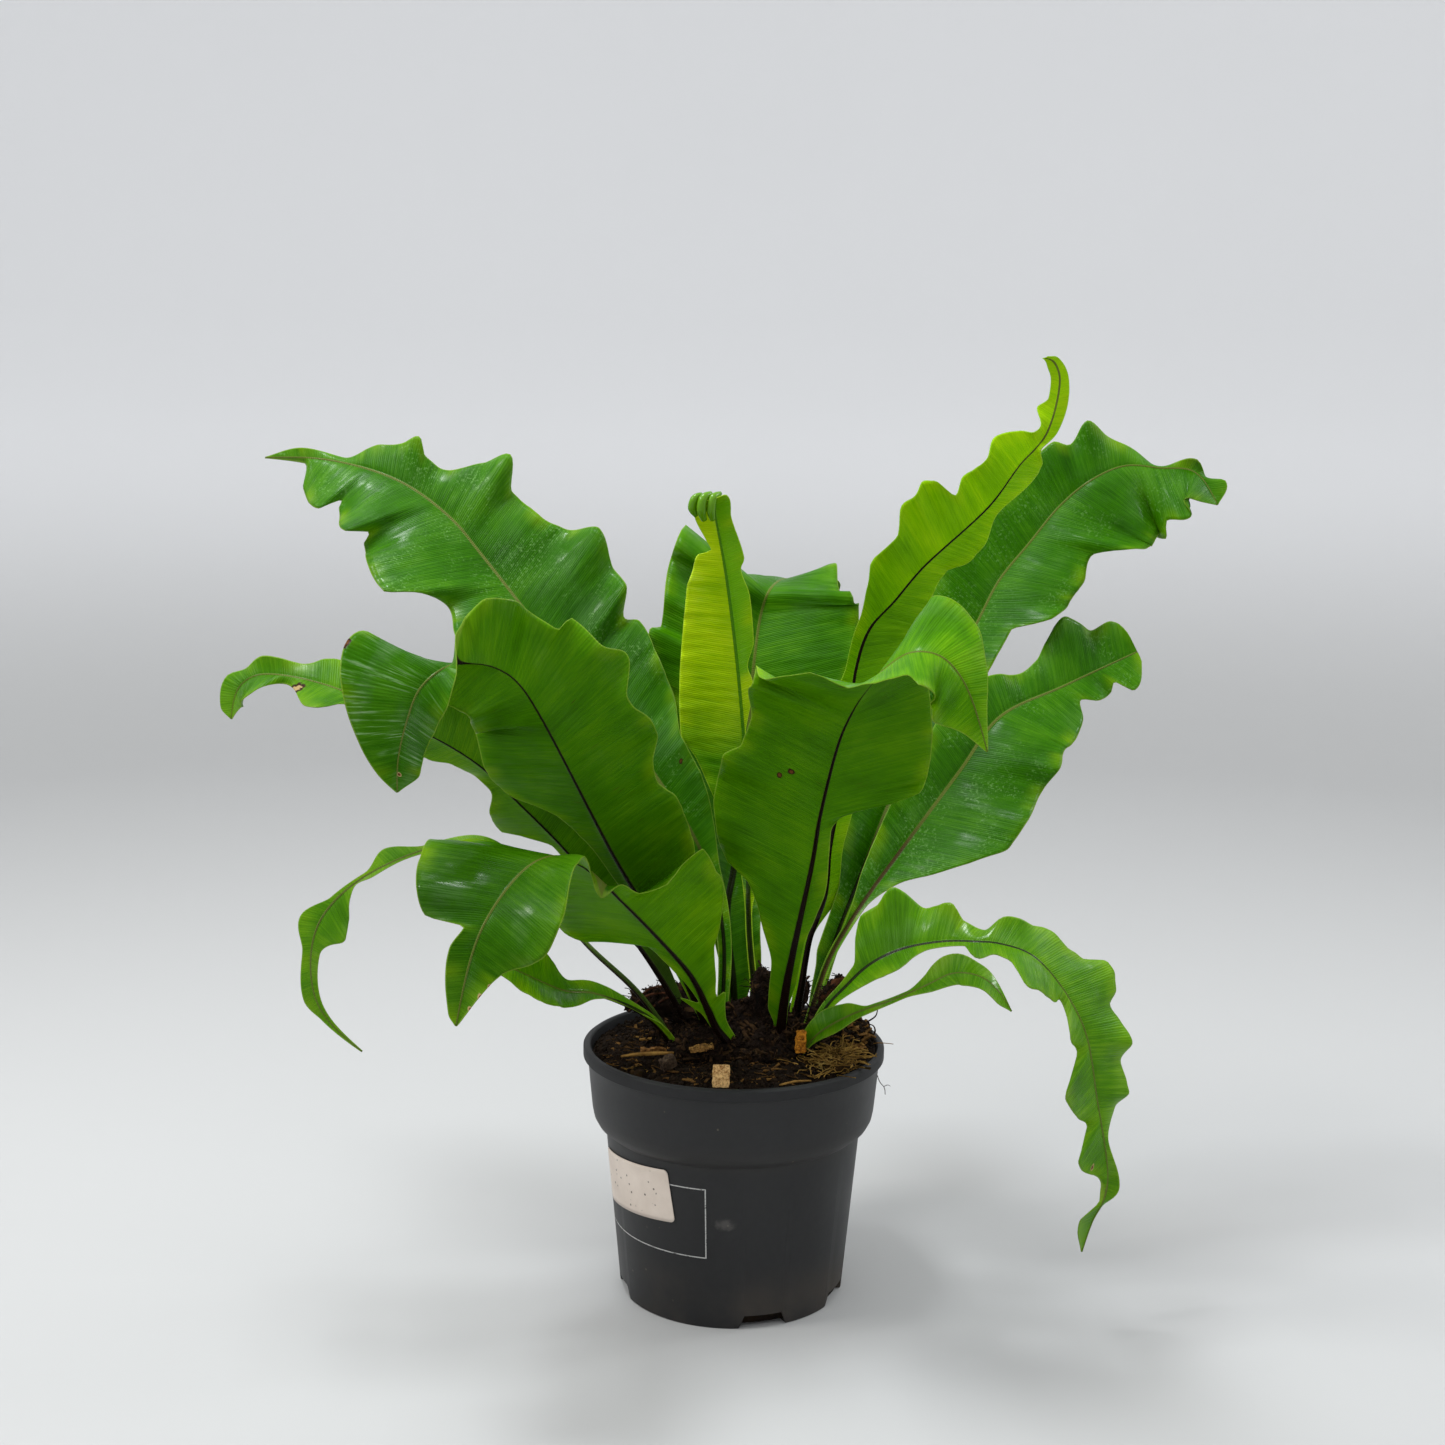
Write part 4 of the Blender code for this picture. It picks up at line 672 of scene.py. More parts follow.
# Colours are linear. "upper" and "under" run from dark to light.
leafLooks = {
    "mature": {
        "upper": [(0.022, 0.105, 0.0), (0.048, 0.19, 0.0), (0.12, 0.32, 0.004)],
        "under": [(0.024, 0.1, 0.0), (0.05, 0.185, 0.0), (0.1, 0.27, 0.001)],
        "margin": (0.26, 0.4, 0.04), "glow": (0.2, 0.36, 0.002), "roughness": 0.34,
    },
    "young": {
        "upper": [(0.09, 0.27, 0.0), (0.17, 0.4, 0.0), (0.28, 0.5, 0.003)],
        "under": [(0.08, 0.25, 0.0), (0.15, 0.37, 0.0), (0.26, 0.48, 0.002)],
        "margin": (0.34, 0.55, 0.04), "glow": (0.3, 0.5, 0.002), "roughness": 0.28,
    },
    "lime": {
        "upper": [(0.2, 0.42, 0.0), (0.36, 0.58, 0.0), (0.52, 0.7, 0.006)],
        "under": [(0.16, 0.38, 0.0), (0.3, 0.52, 0.0), (0.44, 0.62, 0.004)],
        "margin": (0.5, 0.7, 0.04), "glow": (0.45, 0.62, 0.002), "roughness": 0.25,
    },
}
leafTones = {
    "stops": (0.18, 0.5, 0.86),  # places of the dark, middle and light green
    "mottle": (0.2, 0.4, 0.11), "glint": (0.33, 0.5, 0.27), "burn": (0.045, 0.022, 0.003),
    "foot": (0.022, 0.035, 0.008), "coatRoughness": 0.18,
}
veins = {"spacing": 1.15, "depth": 0.2, "strength": 0.8}
ribTones = {"dark": (0.007, 0.0025, 0.0015), "brown": (0.06, 0.03, 0.012),
            "olive": (0.13, 0.16, 0.025), "green": (0.05, 0.2, 0.003)}

plainFrond = {  # what holds where a frond's own row says nothing, and shares of the length
    "look": "mature",
    "tint": (1.0, 1.0, 1.0),  # these three multiply the greens; the last two act on one side only, lightening or darkening it as painted light and painted shade
    "upperPaintedLight": (1.0, 1.0, 1.0),
    "underPaintedLight": (1.0, 1.0, 1.0),
    "gloss": 0.03,  # specular level
    "sheen": 0.3,  # strength of the wet-looking patches
    "ribbed": 1,  # strength of the ridges between the veins
    "mottle": 0,  # strengths of pale specks, painted highlights along the ridges and brown streaks
    "glint": 0,
    "burn": 0,
    "darkTop": 0.2,  # shares at which the dark rib ends, on the upper side and the underside
    "darkUnder": 0.96,
    "topRib": "dark",
    "paleRib": "olive",
    "foot": 0,  # share up to which the narrow foot is dark
    "lower": None,  # share below which the greens are the mature ones
    "least": 0.0,  # how much of the leaf's own green is left there
    "deepRight": None,  # share above which the right half has the green of "tipTint"
    "tipTint": (0.09, 0.36, 0.004),
}
frondLooks = {  # "rib" lists half widths as (share of the length, millimetres)
    "frond_high_left": dict(
        rib=[(0, 1.4), (0.3, 1.2), (0.7, 1.0), (1, 0.5)], darkTop=0.3, tint=(0.6, 0.72, 1.0),
        gloss=0.08, sheen=0.3, mottle=0.5, ribbed=1.3),
    "frond_front_left": dict(
        rib=[(0, 1.6), (0.3, 1.3), (0.7, 0.8), (1, 0.4)], darkUnder=1.2, tint=(0.95, 0.97, 1.0),
        upperPaintedLight=(0.6, 0.7, 1.0), gloss=0.04, sheen=1.0, ribbed=1.6, burn=0.8, glint=0.5),
    "frond_mid_left": dict(
        rib=[(0, 1.2), (0.3, 1.0), (0.7, 0.8), (1, 0.4)], foot=0.2, tint=(1.3, 1.12, 1.0),
        upperPaintedLight=(0.75, 0.8, 1.0), gloss=0.06, sheen=0.4),
    # its upper side is darkened as painted shade, and its underside lightened as painted light
    "frond_low_left": dict(
        rib=[(0, 1.7), (0.3, 1.3), (0.7, 0.9), (1, 0.4)], tint=(1.1, 1.02, 1.0),
        upperPaintedLight=(0.5, 0.58, 1.0), underPaintedLight=(1.3, 1.2, 1.0), gloss=0.04, sheen=0.5, burn=0.2),
    "frond_small_left": dict(
        rib=[(0, 1.3), (0.5, 0.9), (1, 0.4)], darkTop=0.45, tint=(1.45, 1.25, 1.0), sheen=0.4),
    "frond_trailing_left": dict(
        rib=[(0, 1.3), (0.3, 1.0), (1, 0.4)], darkTop=0.4, foot=0.3, tint=(1.3, 1.12, 1.0),
        gloss=0.1, sheen=0.45),
    "frond_young_centre": dict(
        look="lime", lower=0.55, darkTop=0.36, paleRib="green",
        rib=[(0, 1.9), (0.2, 1.7), (0.35, 1.2), (0.7, 1.1), (1, 0.6)], tint=(1.15, 1.1, 1.0),
        gloss=0.08, sheen=0.7, ribbed=1.8, deepRight=0.62),
    "frond_young_right": dict(
        look="young", lower=0.64, least=0.38, darkUnder=0.93,
        rib=[(0, 1.7), (0.1, 1.3), (0.3, 1.1), (0.7, 0.9), (1, 0.5)], tint=(1.42, 1.35, 1.0),
        gloss=0.04, ribbed=1.4),
    "frond_high_right": dict(
        rib=[(0, 1.5), (0.3, 1.1), (0.7, 0.8), (1, 0.4)], darkTop=0.33, tint=(0.55, 0.68, 1.0),
        gloss=0.05, sheen=0.2, mottle=0.35),
    "frond_mid_right": dict(
        rib=[(0, 1.6), (0.3, 1.3), (0.6, 1.1), (1, 0.5)], darkTop=0.5, topRib="brown",
        tint=(0.6, 0.72, 1.0), gloss=0.06, mottle=0.5, sheen=0.25, ribbed=1.3),
    "frond_front_right": dict(
        rib=[(0, 2.1), (0.25, 1.65), (0.5, 1.15), (0.75, 0.85), (1, 0.4)],
        tint=(1.04, 1.02, 1.0), upperPaintedLight=(1.2, 1.12, 1.0), burn=0.7),
    "frond_drooping_right": dict(
        rib=[(0, 1.3), (0.3, 0.9), (1, 0.4)], darkTop=0.6, tint=(1.4, 1.16, 1.0), gloss=0.1,
        sheen=0.5),
    "frond_small_right": dict(
        rib=[(0, 0.8), (1, 0.4)], darkTop=0.1, tint=(1.25, 1.12, 1.0), gloss=0.1, sheen=0.6),
    "frond_back": dict(
        rib=[(0, 2.4), (0.25, 2.3), (0.45, 1.4), (1, 0.6)], darkTop=0.5,
        tint=(0.72, 0.78, 1.0), gloss=0.04),
}

# Damage on single leaves, as (distance along the rib, distance from it, size, colour, rim colour)
brown, tan, rim = (0.12, 0.045, 0.012), (0.42, 0.3, 0.13), (0.03, 0.012, 0.004)
frondSpots = {
    "frond_mid_left": [(304.8, -8, 3.6, tan, rim)],
    "frond_front_right": [(168.2, 25.6, 1.3, brown, rim), (173, 19.9, 1.6, brown, rim)],
    "frond_high_left": [(148.8, 16, 1.1, brown, rim)],
    "frond_low_left": [(292.3, -10, 1.6, brown, tan), (300.3, -6.2, 1.3, brown, tan),
                       (285.8, -13.1, 1.2, brown, tan)],
    "frond_front_left": [(322.1, 40.7, 1.4, brown, rim), (368.5, -1.1, 0.9, brown, tan)],
    "frond_drooping_right": [(280.8, 12.8, 1.5, brown, tan)],
}


def leafFinish(name, given, spots=()):
    look, older = leafLooks[given["look"]], leafLooks["mature"]
    f = Finish(name, look["roughness"], given["gloss"], leafTones["coatRoughness"])
    place = f.place()
    along, across, edge, under, share, fromRib = (f.attribute(layer) for layer in (
        "alongRib", "acrossRib", "fromMargin", "underside", "ribShare", "fromRib"))
    out, half = f.math("ABSOLUTE", across), f.math("SIGN", across)

    def stretched(down, sideways, seed, detail, rough=0.55):  # noise drawn out across the leaf
        return f.noise(f.join(along * down, out * sideways, seed), 1.0, detail, rough)

    streak = stretched(0.75, 0.035, half * 5 + under * 11, 4.0, 0.6)
    band = stretched(0.07, 0.02, half * 3 + under * 7, 3.0)
    patch = f.noise(place, 26.0)
    tone = 0.5 + (streak - 0.5) * 0.7 + (band - 0.5) * 0.55 + (patch - 0.5) * 0.8
    # painted light: the margins are made lighter and yellower, partly for their paler thin tissue
    # and partly for light shining through it
    edgeGlow = 1 - f.ramp(edge, 0.0, 11.0)
    tone = tone + edgeGlow * 0.12

    def greens(colours):
        return f.tones(tone, *zip(leafTones["stops"], colours))

    underMask = f.ramp(under, 0.3, 0.7)
    topMask = 1 - underMask
    # painted light and shade: each side's greens are multiplied by that side's own factor, lighter
    # or darker as the side is lit
    upper = f.vector("MULTIPLY", greens(look["upper"]), given["upperPaintedLight"])
    lower = f.vector("MULTIPLY", greens(look["under"]), given["underPaintedLight"])
    colour = f.mix(underMask, upper, lower)
    if given["lower"] is not None:
        oldColour = f.mix(underMask, greens(older["upper"]), greens(older["under"]))
        ripe = f.ramp(share + (band - 0.5) * 0.1, given["lower"] - 0.1, given["lower"] + 0.12)
        colour = f.mix(given["least"] + ripe * (1 - given["least"]), oldColour, colour)
    colour = f.vector("MULTIPLY", colour, given["tint"])
    if given["deepRight"] is not None:
        past = f.ramp(share, given["deepRight"], given["deepRight"] + 0.03)
        right = f.ramp(across, 0.0, 0.8) * past
        colour = f.mix(right * 0.8, colour, given["tipTint"])
    if given["mottle"]:
        speck = f.ramp(f.noise(place, 620.0, 2.0, 0.7), 0.52, 0.7)
        cloud = f.ramp(f.noise(place, 38.0), 0.42, 0.66)
        colour = f.mix(speck * cloud * given["mottle"] * topMask, colour, leafTones["mottle"])
    # painted highlight: pale streaks on the upper side stand for light glinting off the vein
    # ridges
    if given["glint"]:
        paintedGlint = f.ramp(streak, 0.5, 0.64) * f.ramp(band, 0.47, 0.62) * topMask
        colour = f.mix(paintedGlint * given["glint"], colour, leafTones["glint"])
    if given["burn"]:
        where = f.ramp(stretched(0.02, 0.03, half * 2 + 5, 1.0), 0.5, 0.62)
        mark = f.ramp(stretched(1.1, 0.07, half * 9, 1.0), 0.7, 0.78) * where * underMask
        colour = f.mix(mark * given["burn"], colour, leafTones["burn"])
    # painted light shining through the thin margin, over its own paler colour
    thin = edgeGlow * f.ramp(f.noise(f.join(along * 0.05, half * 4), 1.0, 2.0), 0.45, 0.7)
    colour = f.mix(thin * 0.55, colour, look["glow"])
    line = 1 - f.ramp(edge + (streak - 0.5) * 0.6, 0.15, 0.75)
    colour = f.mix(line * 0.55, colour, look["margin"])
    if given["foot"]:
        low = 1 - f.ramp(share, given["foot"] * 0.6, given["foot"])
        colour = f.mix(low * 0.8, colour, leafTones["foot"])

    def ribColour(until, tone):
        dark = 1 - f.ramp(share + (band - 0.5) * 0.06, until - 0.14, until)
        return f.mix(dark, ribTones[given["paleRib"]], ribTones[tone])

    onRib = 1 - f.ramp(fromRib + (streak - 0.5) * 0.12, 0.72, 1.02)
    topRib = ribColour(given["darkTop"], given["topRib"])
    colour = f.mix(onRib * topMask * 0.9, colour, topRib)
    rusty = f.ramp(fromRib, 0.6, 0.95) * 0.6
    lowRib = f.mix(rusty, ribColour(given["darkUnder"], "dark"), ribTones["brown"])
    colour = f.mix(onRib * underMask, colour, lowRib)
    for at, sideways, size, spotColour, ring in spots:
        apart = f.math("SQRT", (along - at) ** 2.0 + (across - sideways) ** 2.0)
        apart = apart + (f.noise(place, 420.0, 2.0) - 0.5) * size * 1.3
        colour = f.mix(1 - f.ramp(apart, size * 0.95, size * 1.35), colour, ring)
        colour = f.mix(1 - f.ramp(apart, size * 0.55, size * 0.8), colour, spotColour)
    f.feed("Base Color", colour)
    f.feed("Roughness", look["roughness"] + (patch - 0.5) * 0.2 + (streak - 0.5) * 0.2)
    sheen = f.ramp(stretched(0.03, 0.05, half * 7, 3.0), 0.45, 0.7)
    sheen = sheen * (0.35 + f.ramp(streak, 0.42, 0.62) * 0.9) * (1 - underMask * 0.85)
    f.feed("Coat Weight", 0.015 + sheen * given["sheen"] + onRib * 0.05)
    thread = f.math("SINE", (along + (streak - 0.5) * 1.2) * (2 * math.pi / veins["spacing"]))
    height = thread * 0.35 + streak * 1.3 + f.noise(place, 900.0, 2.0) * 0.3
    f.bump(height, veins["depth"] * mm, veins["strength"])
    return f.material


for number, (node, frond) in enumerate(fronds.items()):
    given = {**plainFrond, **frondLooks[node]}
    finish = leafFinish(node + " leaf", given, frondSpots.get(node, ()))
    slot = "young_leaf" if "young" in node or "small" in node else "leaf"
    makeFrond(node, frond, finish, slot, 40 + 7 * number, given)
print("fronds made:", len(fronds))


# Pot

pot = {
    "outside": [(81.6, 142.3), (83.6, 142.3), (85, 141.3), (85, 136.2), (84.2, 135.4),
                (82.4, 135.2), (81.4, 123), (79.8, 106.5), (78.9, 102), (77, 98.4),
                (72.2, 94.5), (72, 93), (63.5, 0.8), (62.8, 0)],  # (radius, height)
    "inside": [(80.9, 141.5), (78.2, 107), (76.4, 100.6), (70.6, 96), (61.9, 2.8), (60.4, 1.8)],
    "floor": 1.8,
    "steps": 168,
    "notches": (16, 68, 120, 172, 232, 285),  # directions of their middles
    "notchHalf": 13,  # degrees
    "notchTop": (3.4, 7.6),  # degrees that each side leans in, and height
    "notchReach": (56, 70),
    "round": 0.4,
    "roundFrom": 28,  # degrees between two faces
}
potLooks = {
    "tones": ((0.007, 0.007, 0.0075), (0.014, 0.014, 0.015)),
    "footDirt": (2, 40),  # height at which it begins to fade, and at which it ends
    "ledgeDirt": (88, 97, 100, 112),
    "lip": (134.5, 136.5),
    "dirt": (0.085, 0.067, 0.05),
    "speck": (0.2, 0.17, 0.12),
    "smearPlace": (-4, 62),
    "smearSize": (6.5, 3.8),
    "smear": (0.13, 0.12, 0.11),
    "print": (0.55, 0.55, 0.53),
}
printed = {"left": -80, "right": -11.8, "bottom": 41.3, "top": 82, "line": 0.62, "wall": 67.5}


def around(angle):  # direction at an angle, counted from the front to the right
    return math.sin(math.radians(angle)), -math.cos(math.radians(angle))


def potBody(material):
    turns = [around(360 * j / pot["steps"]) for j in range(pot["steps"])]
    rings = [(0, 0, pot["floor"])]
    for r, z in pot["inside"][::-1] + pot["outside"]:
        rings.append([(x * r, y * r, z) for x, y in turns])
    rings.append((0, 0, 0))
    return newMesh("pot_shell", *polarSolid(rings, pot["steps"]), material)


def notchBlock(middle):
    points, faces, parts = [], [], 6
    for i in range(parts + 1):
        spread = 2 * i / parts - 1
        for inset, z in ((0, -1), pot["notchTop"]):
            x, y = around(middle + spread * (pot["notchHalf"] - inset))
            points += [(x * r, y * r, z) for r in pot["notchReach"]]
    for i in range(parts):
        a = 4 * i
        b = a + 4
        faces += [(a, a + 1, b + 1, b), (a + 2, b + 2, b + 3, a + 3)]
        faces += [(a, b, b + 2, a + 2), (a + 1, a + 3, b + 3, b + 1)]
    last = 4 * parts
    return points, faces + [(0, 2, 3, 1), (last, last + 1, last + 3, last + 2)]


def potFinish():
    f = Finish("matte black plastic", 0.55, 0.42)
    place = f.place()
    x, y, z = f.split(place)
    angle = f.math("ARCTAN2", x, y * -1) * (180 / math.pi)

    def rise(low, high):  # smooth step between two heights in millimetres
        return f.ramp(z, low * mm, high * mm)

    def box(inset):  # 1 within the printed box, which the inset draws in
        turn = math.degrees(inset / printed["wall"])
        wide = (angle > printed["left"] + turn) * (angle < printed["right"] - turn)
        tall = (z > (printed["bottom"] + inset) * mm) * (z < (printed["top"] - inset) * mm)
        return wide * tall

    cloud = f.noise(place, 22.0, 4.0)
    fine = f.noise(place, 260.0)
    colour = f.tones(cloud * 0.55 + fine * 0.45, *zip((0.25, 0.75), potLooks["tones"]))
    foot = (1 - rise(*potLooks["footDirt"])) * f.ramp(cloud, 0.35, 0.75)
    ledge = rise(*potLooks["ledgeDirt"][:2]) * (1 - rise(*potLooks["ledgeDirt"][2:]))
    colour = f.mix(foot * 0.6 + ledge * 0.07, colour, potLooks["dirt"])
    rare = f.ramp(f.noise(place, 60.0, 2.0), 0.56, 0.66)
    colour = f.mix(f.dots(place, 150.0, 0.06, 0.13) * rare * 0.7, colour, potLooks["speck"])
    (left, high), (wide, tall) = potLooks["smearPlace"], potLooks["smearSize"]
    across, up = (x - left * mm) / (wide * mm), (z - high * mm) / (tall * mm)
    scuff = f.math("SQRT", across ** 2.0 + up ** 2.0)
    front = y < 0.0
    smear = (1 - f.ramp(scuff + (fine - 0.5) * 1.4, 0.2, 1.1)) * front
    colour = f.mix(smear * 0.45, colour, potLooks["smear"])
    worn = f.ramp(f.noise(place, 900.0), 0.3, 0.5)
    line = (box(0) - box(printed["line"])) * front
    f.feed("Base Color", f.mix(line * worn * 0.9, colour, potLooks["print"]))
    f.feed("Roughness", 0.5 + (cloud - 0.5) * 0.25 + foot * 0.2 + rise(*potLooks["lip"]) * 0.2)
    f.bump(f.noise(place, 1500.0, 2.0) * 0.6 + fine, 0.00008, 0.5)
    return f.material


def makePot():
    piece = potBody(potFinish())
    cutters = bpy.data.collections.new("notch cutters")
    scene.collection.children.link(cutters)
    for middle in pot["notches"]:
        block = newMesh("notch", *notchBlock(middle), piece.data.materials[0], smooth=False)
        scene.collection.objects.unlink(block)
        cutters.objects.link(block)
    cut = piece.modifiers.new("notches", "BOOLEAN")
    cut.operand_type = "COLLECTION"
    cut.collection = cutters
    cut.solver = "EXACT"
    soft = piece.modifiers.new("soft edges", "BEVEL")
    soft.width = pot["round"] * mm
    soft.segments = 2
    soft.limit_method = "ANGLE"
    soft.angle_limit = math.radians(pot["roundFrom"])
    settle(piece)
    for block in list(cutters.objects):
        bpy.data.objects.remove(block, do_unlink=True)
    bpy.data.collections.remove(cutters)
    dress(piece, "pot_plastic", "pot")


makePot()
print("pot made")


# Sticker, left blank

sticker = {"angle": -52.5, "height": 72.5, "size": (61, 30), "corner": 2.6, "thick": 0.35,
           "slant": 4.7, "standOff": 0.75, "columns": 72, "rows": 13,
           "tones": ((0.62, 0.52, 0.44), (0.78, 0.68, 0.59)), "speck": (0.05, 0.03, 0.02)}


def wallRadius(z):
    (top, high), (low, foot) = pot["outside"][-3], pot["outside"][-2]
    return low + (top - low) * (z - foot) / (high - foot)


def stickerFinish():
    f = Finish("worn cream paper", 0.5)
    place = f.place()
    cloud = f.noise(place, 45.0, 4.0)
    colour = f.tones(cloud, *zip((0.3, 0.7), sticker["tones"]))
    rare = f.ramp(f.noise(place, 120.0, 2.0), 0.47, 0.55)
    specks = f.dots(place, 260.0, 0.12, 0.22) * rare
    f.feed("Base Color", f.mix(specks * 0.9, colour, sticker["speck"]))
    f.feed("Roughness", 0.42 + cloud * 0.2)
    f.bump(f.noise(place, 700.0), 0.00006, 0.4)
    return f.material


def makeSticker():
    half, tall, corner = sticker["size"][0] / 2, sticker["size"][1] / 2, sticker["corner"]
    slant = math.radians(sticker["slant"])
    rows = []
    for x in half * np.sin(np.linspace(-1, 1, sticker["columns"]) * math.pi / 2):
        inset = max(abs(x) - (half - corner), 0)
        reach = tall - corner + math.sqrt(max(corner**2 - inset**2, 0))
        row = []
        for share in np.linspace(1, -1, sticker["rows"]):
            y = share * reach
            run = x * math.cos(slant) - y * math.sin(slant)
            z = sticker["height"] + x * math.sin(slant) + y * math.cos(slant)
            radius = wallRadius(z) + sticker["standOff"]
            u, v = around(sticker["angle"] + math.degrees(run / radius))
            row.append((u * radius, v * radius, z))
        rows.append(row)
    rows = np.array(rows)
    inner = rows.copy()
    inner[:, :, :2] *= (1 - sticker["thick"] / np.hypot(rows[:, :, 0], rows[:, :, 1]))[:, :, None]
    points = np.concatenate([rows.reshape(-1, 3), inner.reshape(-1, 3)])
    piece = newMesh("label_paper", points, shellFaces(*rows.shape[:2]), stickerFinish())
    dress(piece, "label_paper", "label")


makeSticker()
print("sticker made")


# Geometry Nodes for loose matter: crumbs, strands and flakes scattered over a surface.
# Their inputs are in metres and radians. "density" counts pieces per square metre, "facing" is
# how far up a face has to look, and "reach" is the distance from the centre that they keep to.

commonInputs = {"density": 50000.0, "seed": 1, "facing": 0.3, "centreX": 0.0, "centreY": 0.0,
                "reach": 1.0, "material": None}
socketKinds = {float: "NodeSocketFloat", int: "NodeSocketInt", type(None): "NodeSocketMaterial"}
potWall = {"radius": 0.0792, "below": 0.1435}  # metres, and what lies below stays within


class Scatter(Graph):
    def __init__(self, name, **inputs):
        super().__init__(bpy.data.node_groups.new(name, "GeometryNodeTree"))
        self.sockets = {}
        face = self.tree.interface
        face.new_socket("Geometry", in_out="INPUT", socket_type="NodeSocketGeometry")
        for label, value in {**commonInputs, **inputs}.items():
            socket = face.new_socket(label, in_out="INPUT", socket_type=socketKinds[type(value)])
            if value is not None:
                socket.default_value = value
            self.sockets[label] = socket.identifier
        face.new_socket("Geometry", in_out="OUTPUT", socket_type="NodeSocketGeometry")
        self.given = self.tree.nodes.new("NodeGroupInput")

    def input(self, label):
        return Value(self, self.given.outputs[label])

    def random(self, low, high, seed):
        if isinstance(low, tuple):
            return self.node("FunctionNodeRandomValue", {0: low, 1: high, "Seed": seed},
                             data_type="FLOAT_VECTOR")
        return self.node("FunctionNodeRandomValue", {2: low, 3: high, "Seed": seed}, 1,
                         data_type="FLOAT")

    def between(self, small, large, share):
        return self.input(small) + (self.input(large) - self.input(small)) * share

    def copies(self, shape, turned, scale):  # real copies of a shape on random points
        up = self.split(self.node("GeometryNodeInputNormal"))[2]
        x, y, z = self.split(self.node("GeometryNodeInputPosition"))
        x, y = x - self.input("centreX"), y - self.input("centreY")
        near = self.math("SQRT", x * x + y * y) < self.input("reach")
        points = self.node("GeometryNodeDistributePointsOnFaces", {
            "Mesh": self.input("Geometry"), "Selection": (up > self.input("facing")) * near,
            "Density": self.input("density"), "Seed": self.input("seed")},
            distribute_method="RANDOM")
        many = self.node("GeometryNodeInstanceOnPoints", {
            "Points": points, "Instance": shape, "Rotation": turned, "Scale": scale})
        return self.node("GeometryNodeRealizeInstances", {0: many})

    def shifted(self, geometry, offset):
        return self.node("GeometryNodeSetPosition", {"Geometry": geometry, "Offset": offset})

    def swayed(self, geometry, scale, middle, reach):  # bent by smooth noise
        sway = self.node("ShaderNodeTexNoise", {"Scale": scale, "Detail": 1.0}, 1)
        sway = self.vector("SUBTRACT", sway, middle)
        return self.shifted(geometry, self.vector("SCALE", sway, reach))

    def insideWall(self, geometry):  # pulls what would pierce the pot towards its axis
        x, y, z = self.split(self.node("GeometryNodeInputPosition"))
        share = self.math("MINIMUM", potWall["radius"] / self.math("SQRT", x * x + y * y), 1.0)
        share = 1 - (1 - share) * (z < potWall["below"])
        return self.node("GeometryNodeSetPosition", {
            "Geometry": geometry, "Position": self.join(x * share, y * share, z)})

    def finish(self, geometry, flat=False):
        if flat:
            geometry = self.node("GeometryNodeSetShadeSmooth", {
                "Geometry": geometry, "Shade Smooth": False})
        real = self.node("GeometryNodeRealizeInstances", {0: geometry})
        painted = self.node("GeometryNodeSetMaterial", {
            "Geometry": real, "Material": self.input("material")})
        end = self.tree.nodes.new("NodeGroupOutput")
        self.tree.links.new(painted.socket, end.inputs[0])
        return self

    def grow(self, name, surface, slot, **values):  # a plain mesh of what grows on the surface
        piece = bpy.data.objects.new(name, surface.data.copy())
        scene.collection.objects.link(piece)
        modifier = piece.modifiers.new(name, "NODES")
        modifier.node_group = self.tree
        for label, value in values.items():
            modifier[self.sockets[label]] = value
        settle(piece)
        dress(piece, slot)


def crumbTree():
    g = Scatter("crumbs", smallest=0.0004, largest=0.0015)
    lump = g.node("GeometryNodeMeshIcoSphere", {"Radius": 1.0, "Subdivisions": 1})
    size = g.between("smallest", "largest", g.random(0.0, 1.0, 4) ** 2.5)
    shape = g.vector("SCALE", g.random((0.6, 0.5, 0.4), (1.5, 1.1, 0.9), 5), size)
    many = g.copies(lump, g.random((0, 0, 0), (6.28, 6.28, 6.28), 3), shape)
    rough = g.noise(g.node("GeometryNodeInputPosition"), 900.0, 1.0)
    push = g.vector("SCALE", g.node("GeometryNodeInputNormal"), (rough - 0.5) * 0.0008)
    return g.finish(g.shifted(many, push), flat=True)


def strandTree():  # the lean is how far a strand tips from the surface's upward direction
    g = Scatter("strands", shortest=0.004, longest=0.012, thick=0.00015, curl=0.004,
                curlScale=120.0, leastLean=1.2, mostLean=1.7)
    line = g.node("GeometryNodeCurvePrimitiveLine", {"Start": (0, 0, 0), "End": (0, 0, 1)})
    line = g.node("GeometryNodeResampleCurve", {"Curve": line, "Count": 7})
    lean = g.random(g.input("leastLean"), g.input("mostLean"), 11)
    turned = g.join(lean, 0.0, g.random(0.0, 6.283, 12))
    long = g.random(g.input("shortest"), g.input("longest"), 13)
    many = g.copies(line, turned, g.join(long, long, long))
    share = g.node("GeometryNodeSplineParameter")
    bent = g.swayed(many, g.input("curlScale"), (0.5, 0.5, 0.45), share * g.input("curl"))
    thin = g.node("GeometryNodeSetCurveRadius", {"Curve": bent, "Radius": 1.1 - share * 0.8})
    ring = g.node("GeometryNodeCurvePrimitiveCircle", {
        "Resolution": 4, "Radius": g.input("thick")})
    solid = g.node("GeometryNodeCurveToMesh", {
        "Curve": thin, "Profile Curve": ring, "Fill Caps": True})
    return g.finish(g.insideWall(solid))


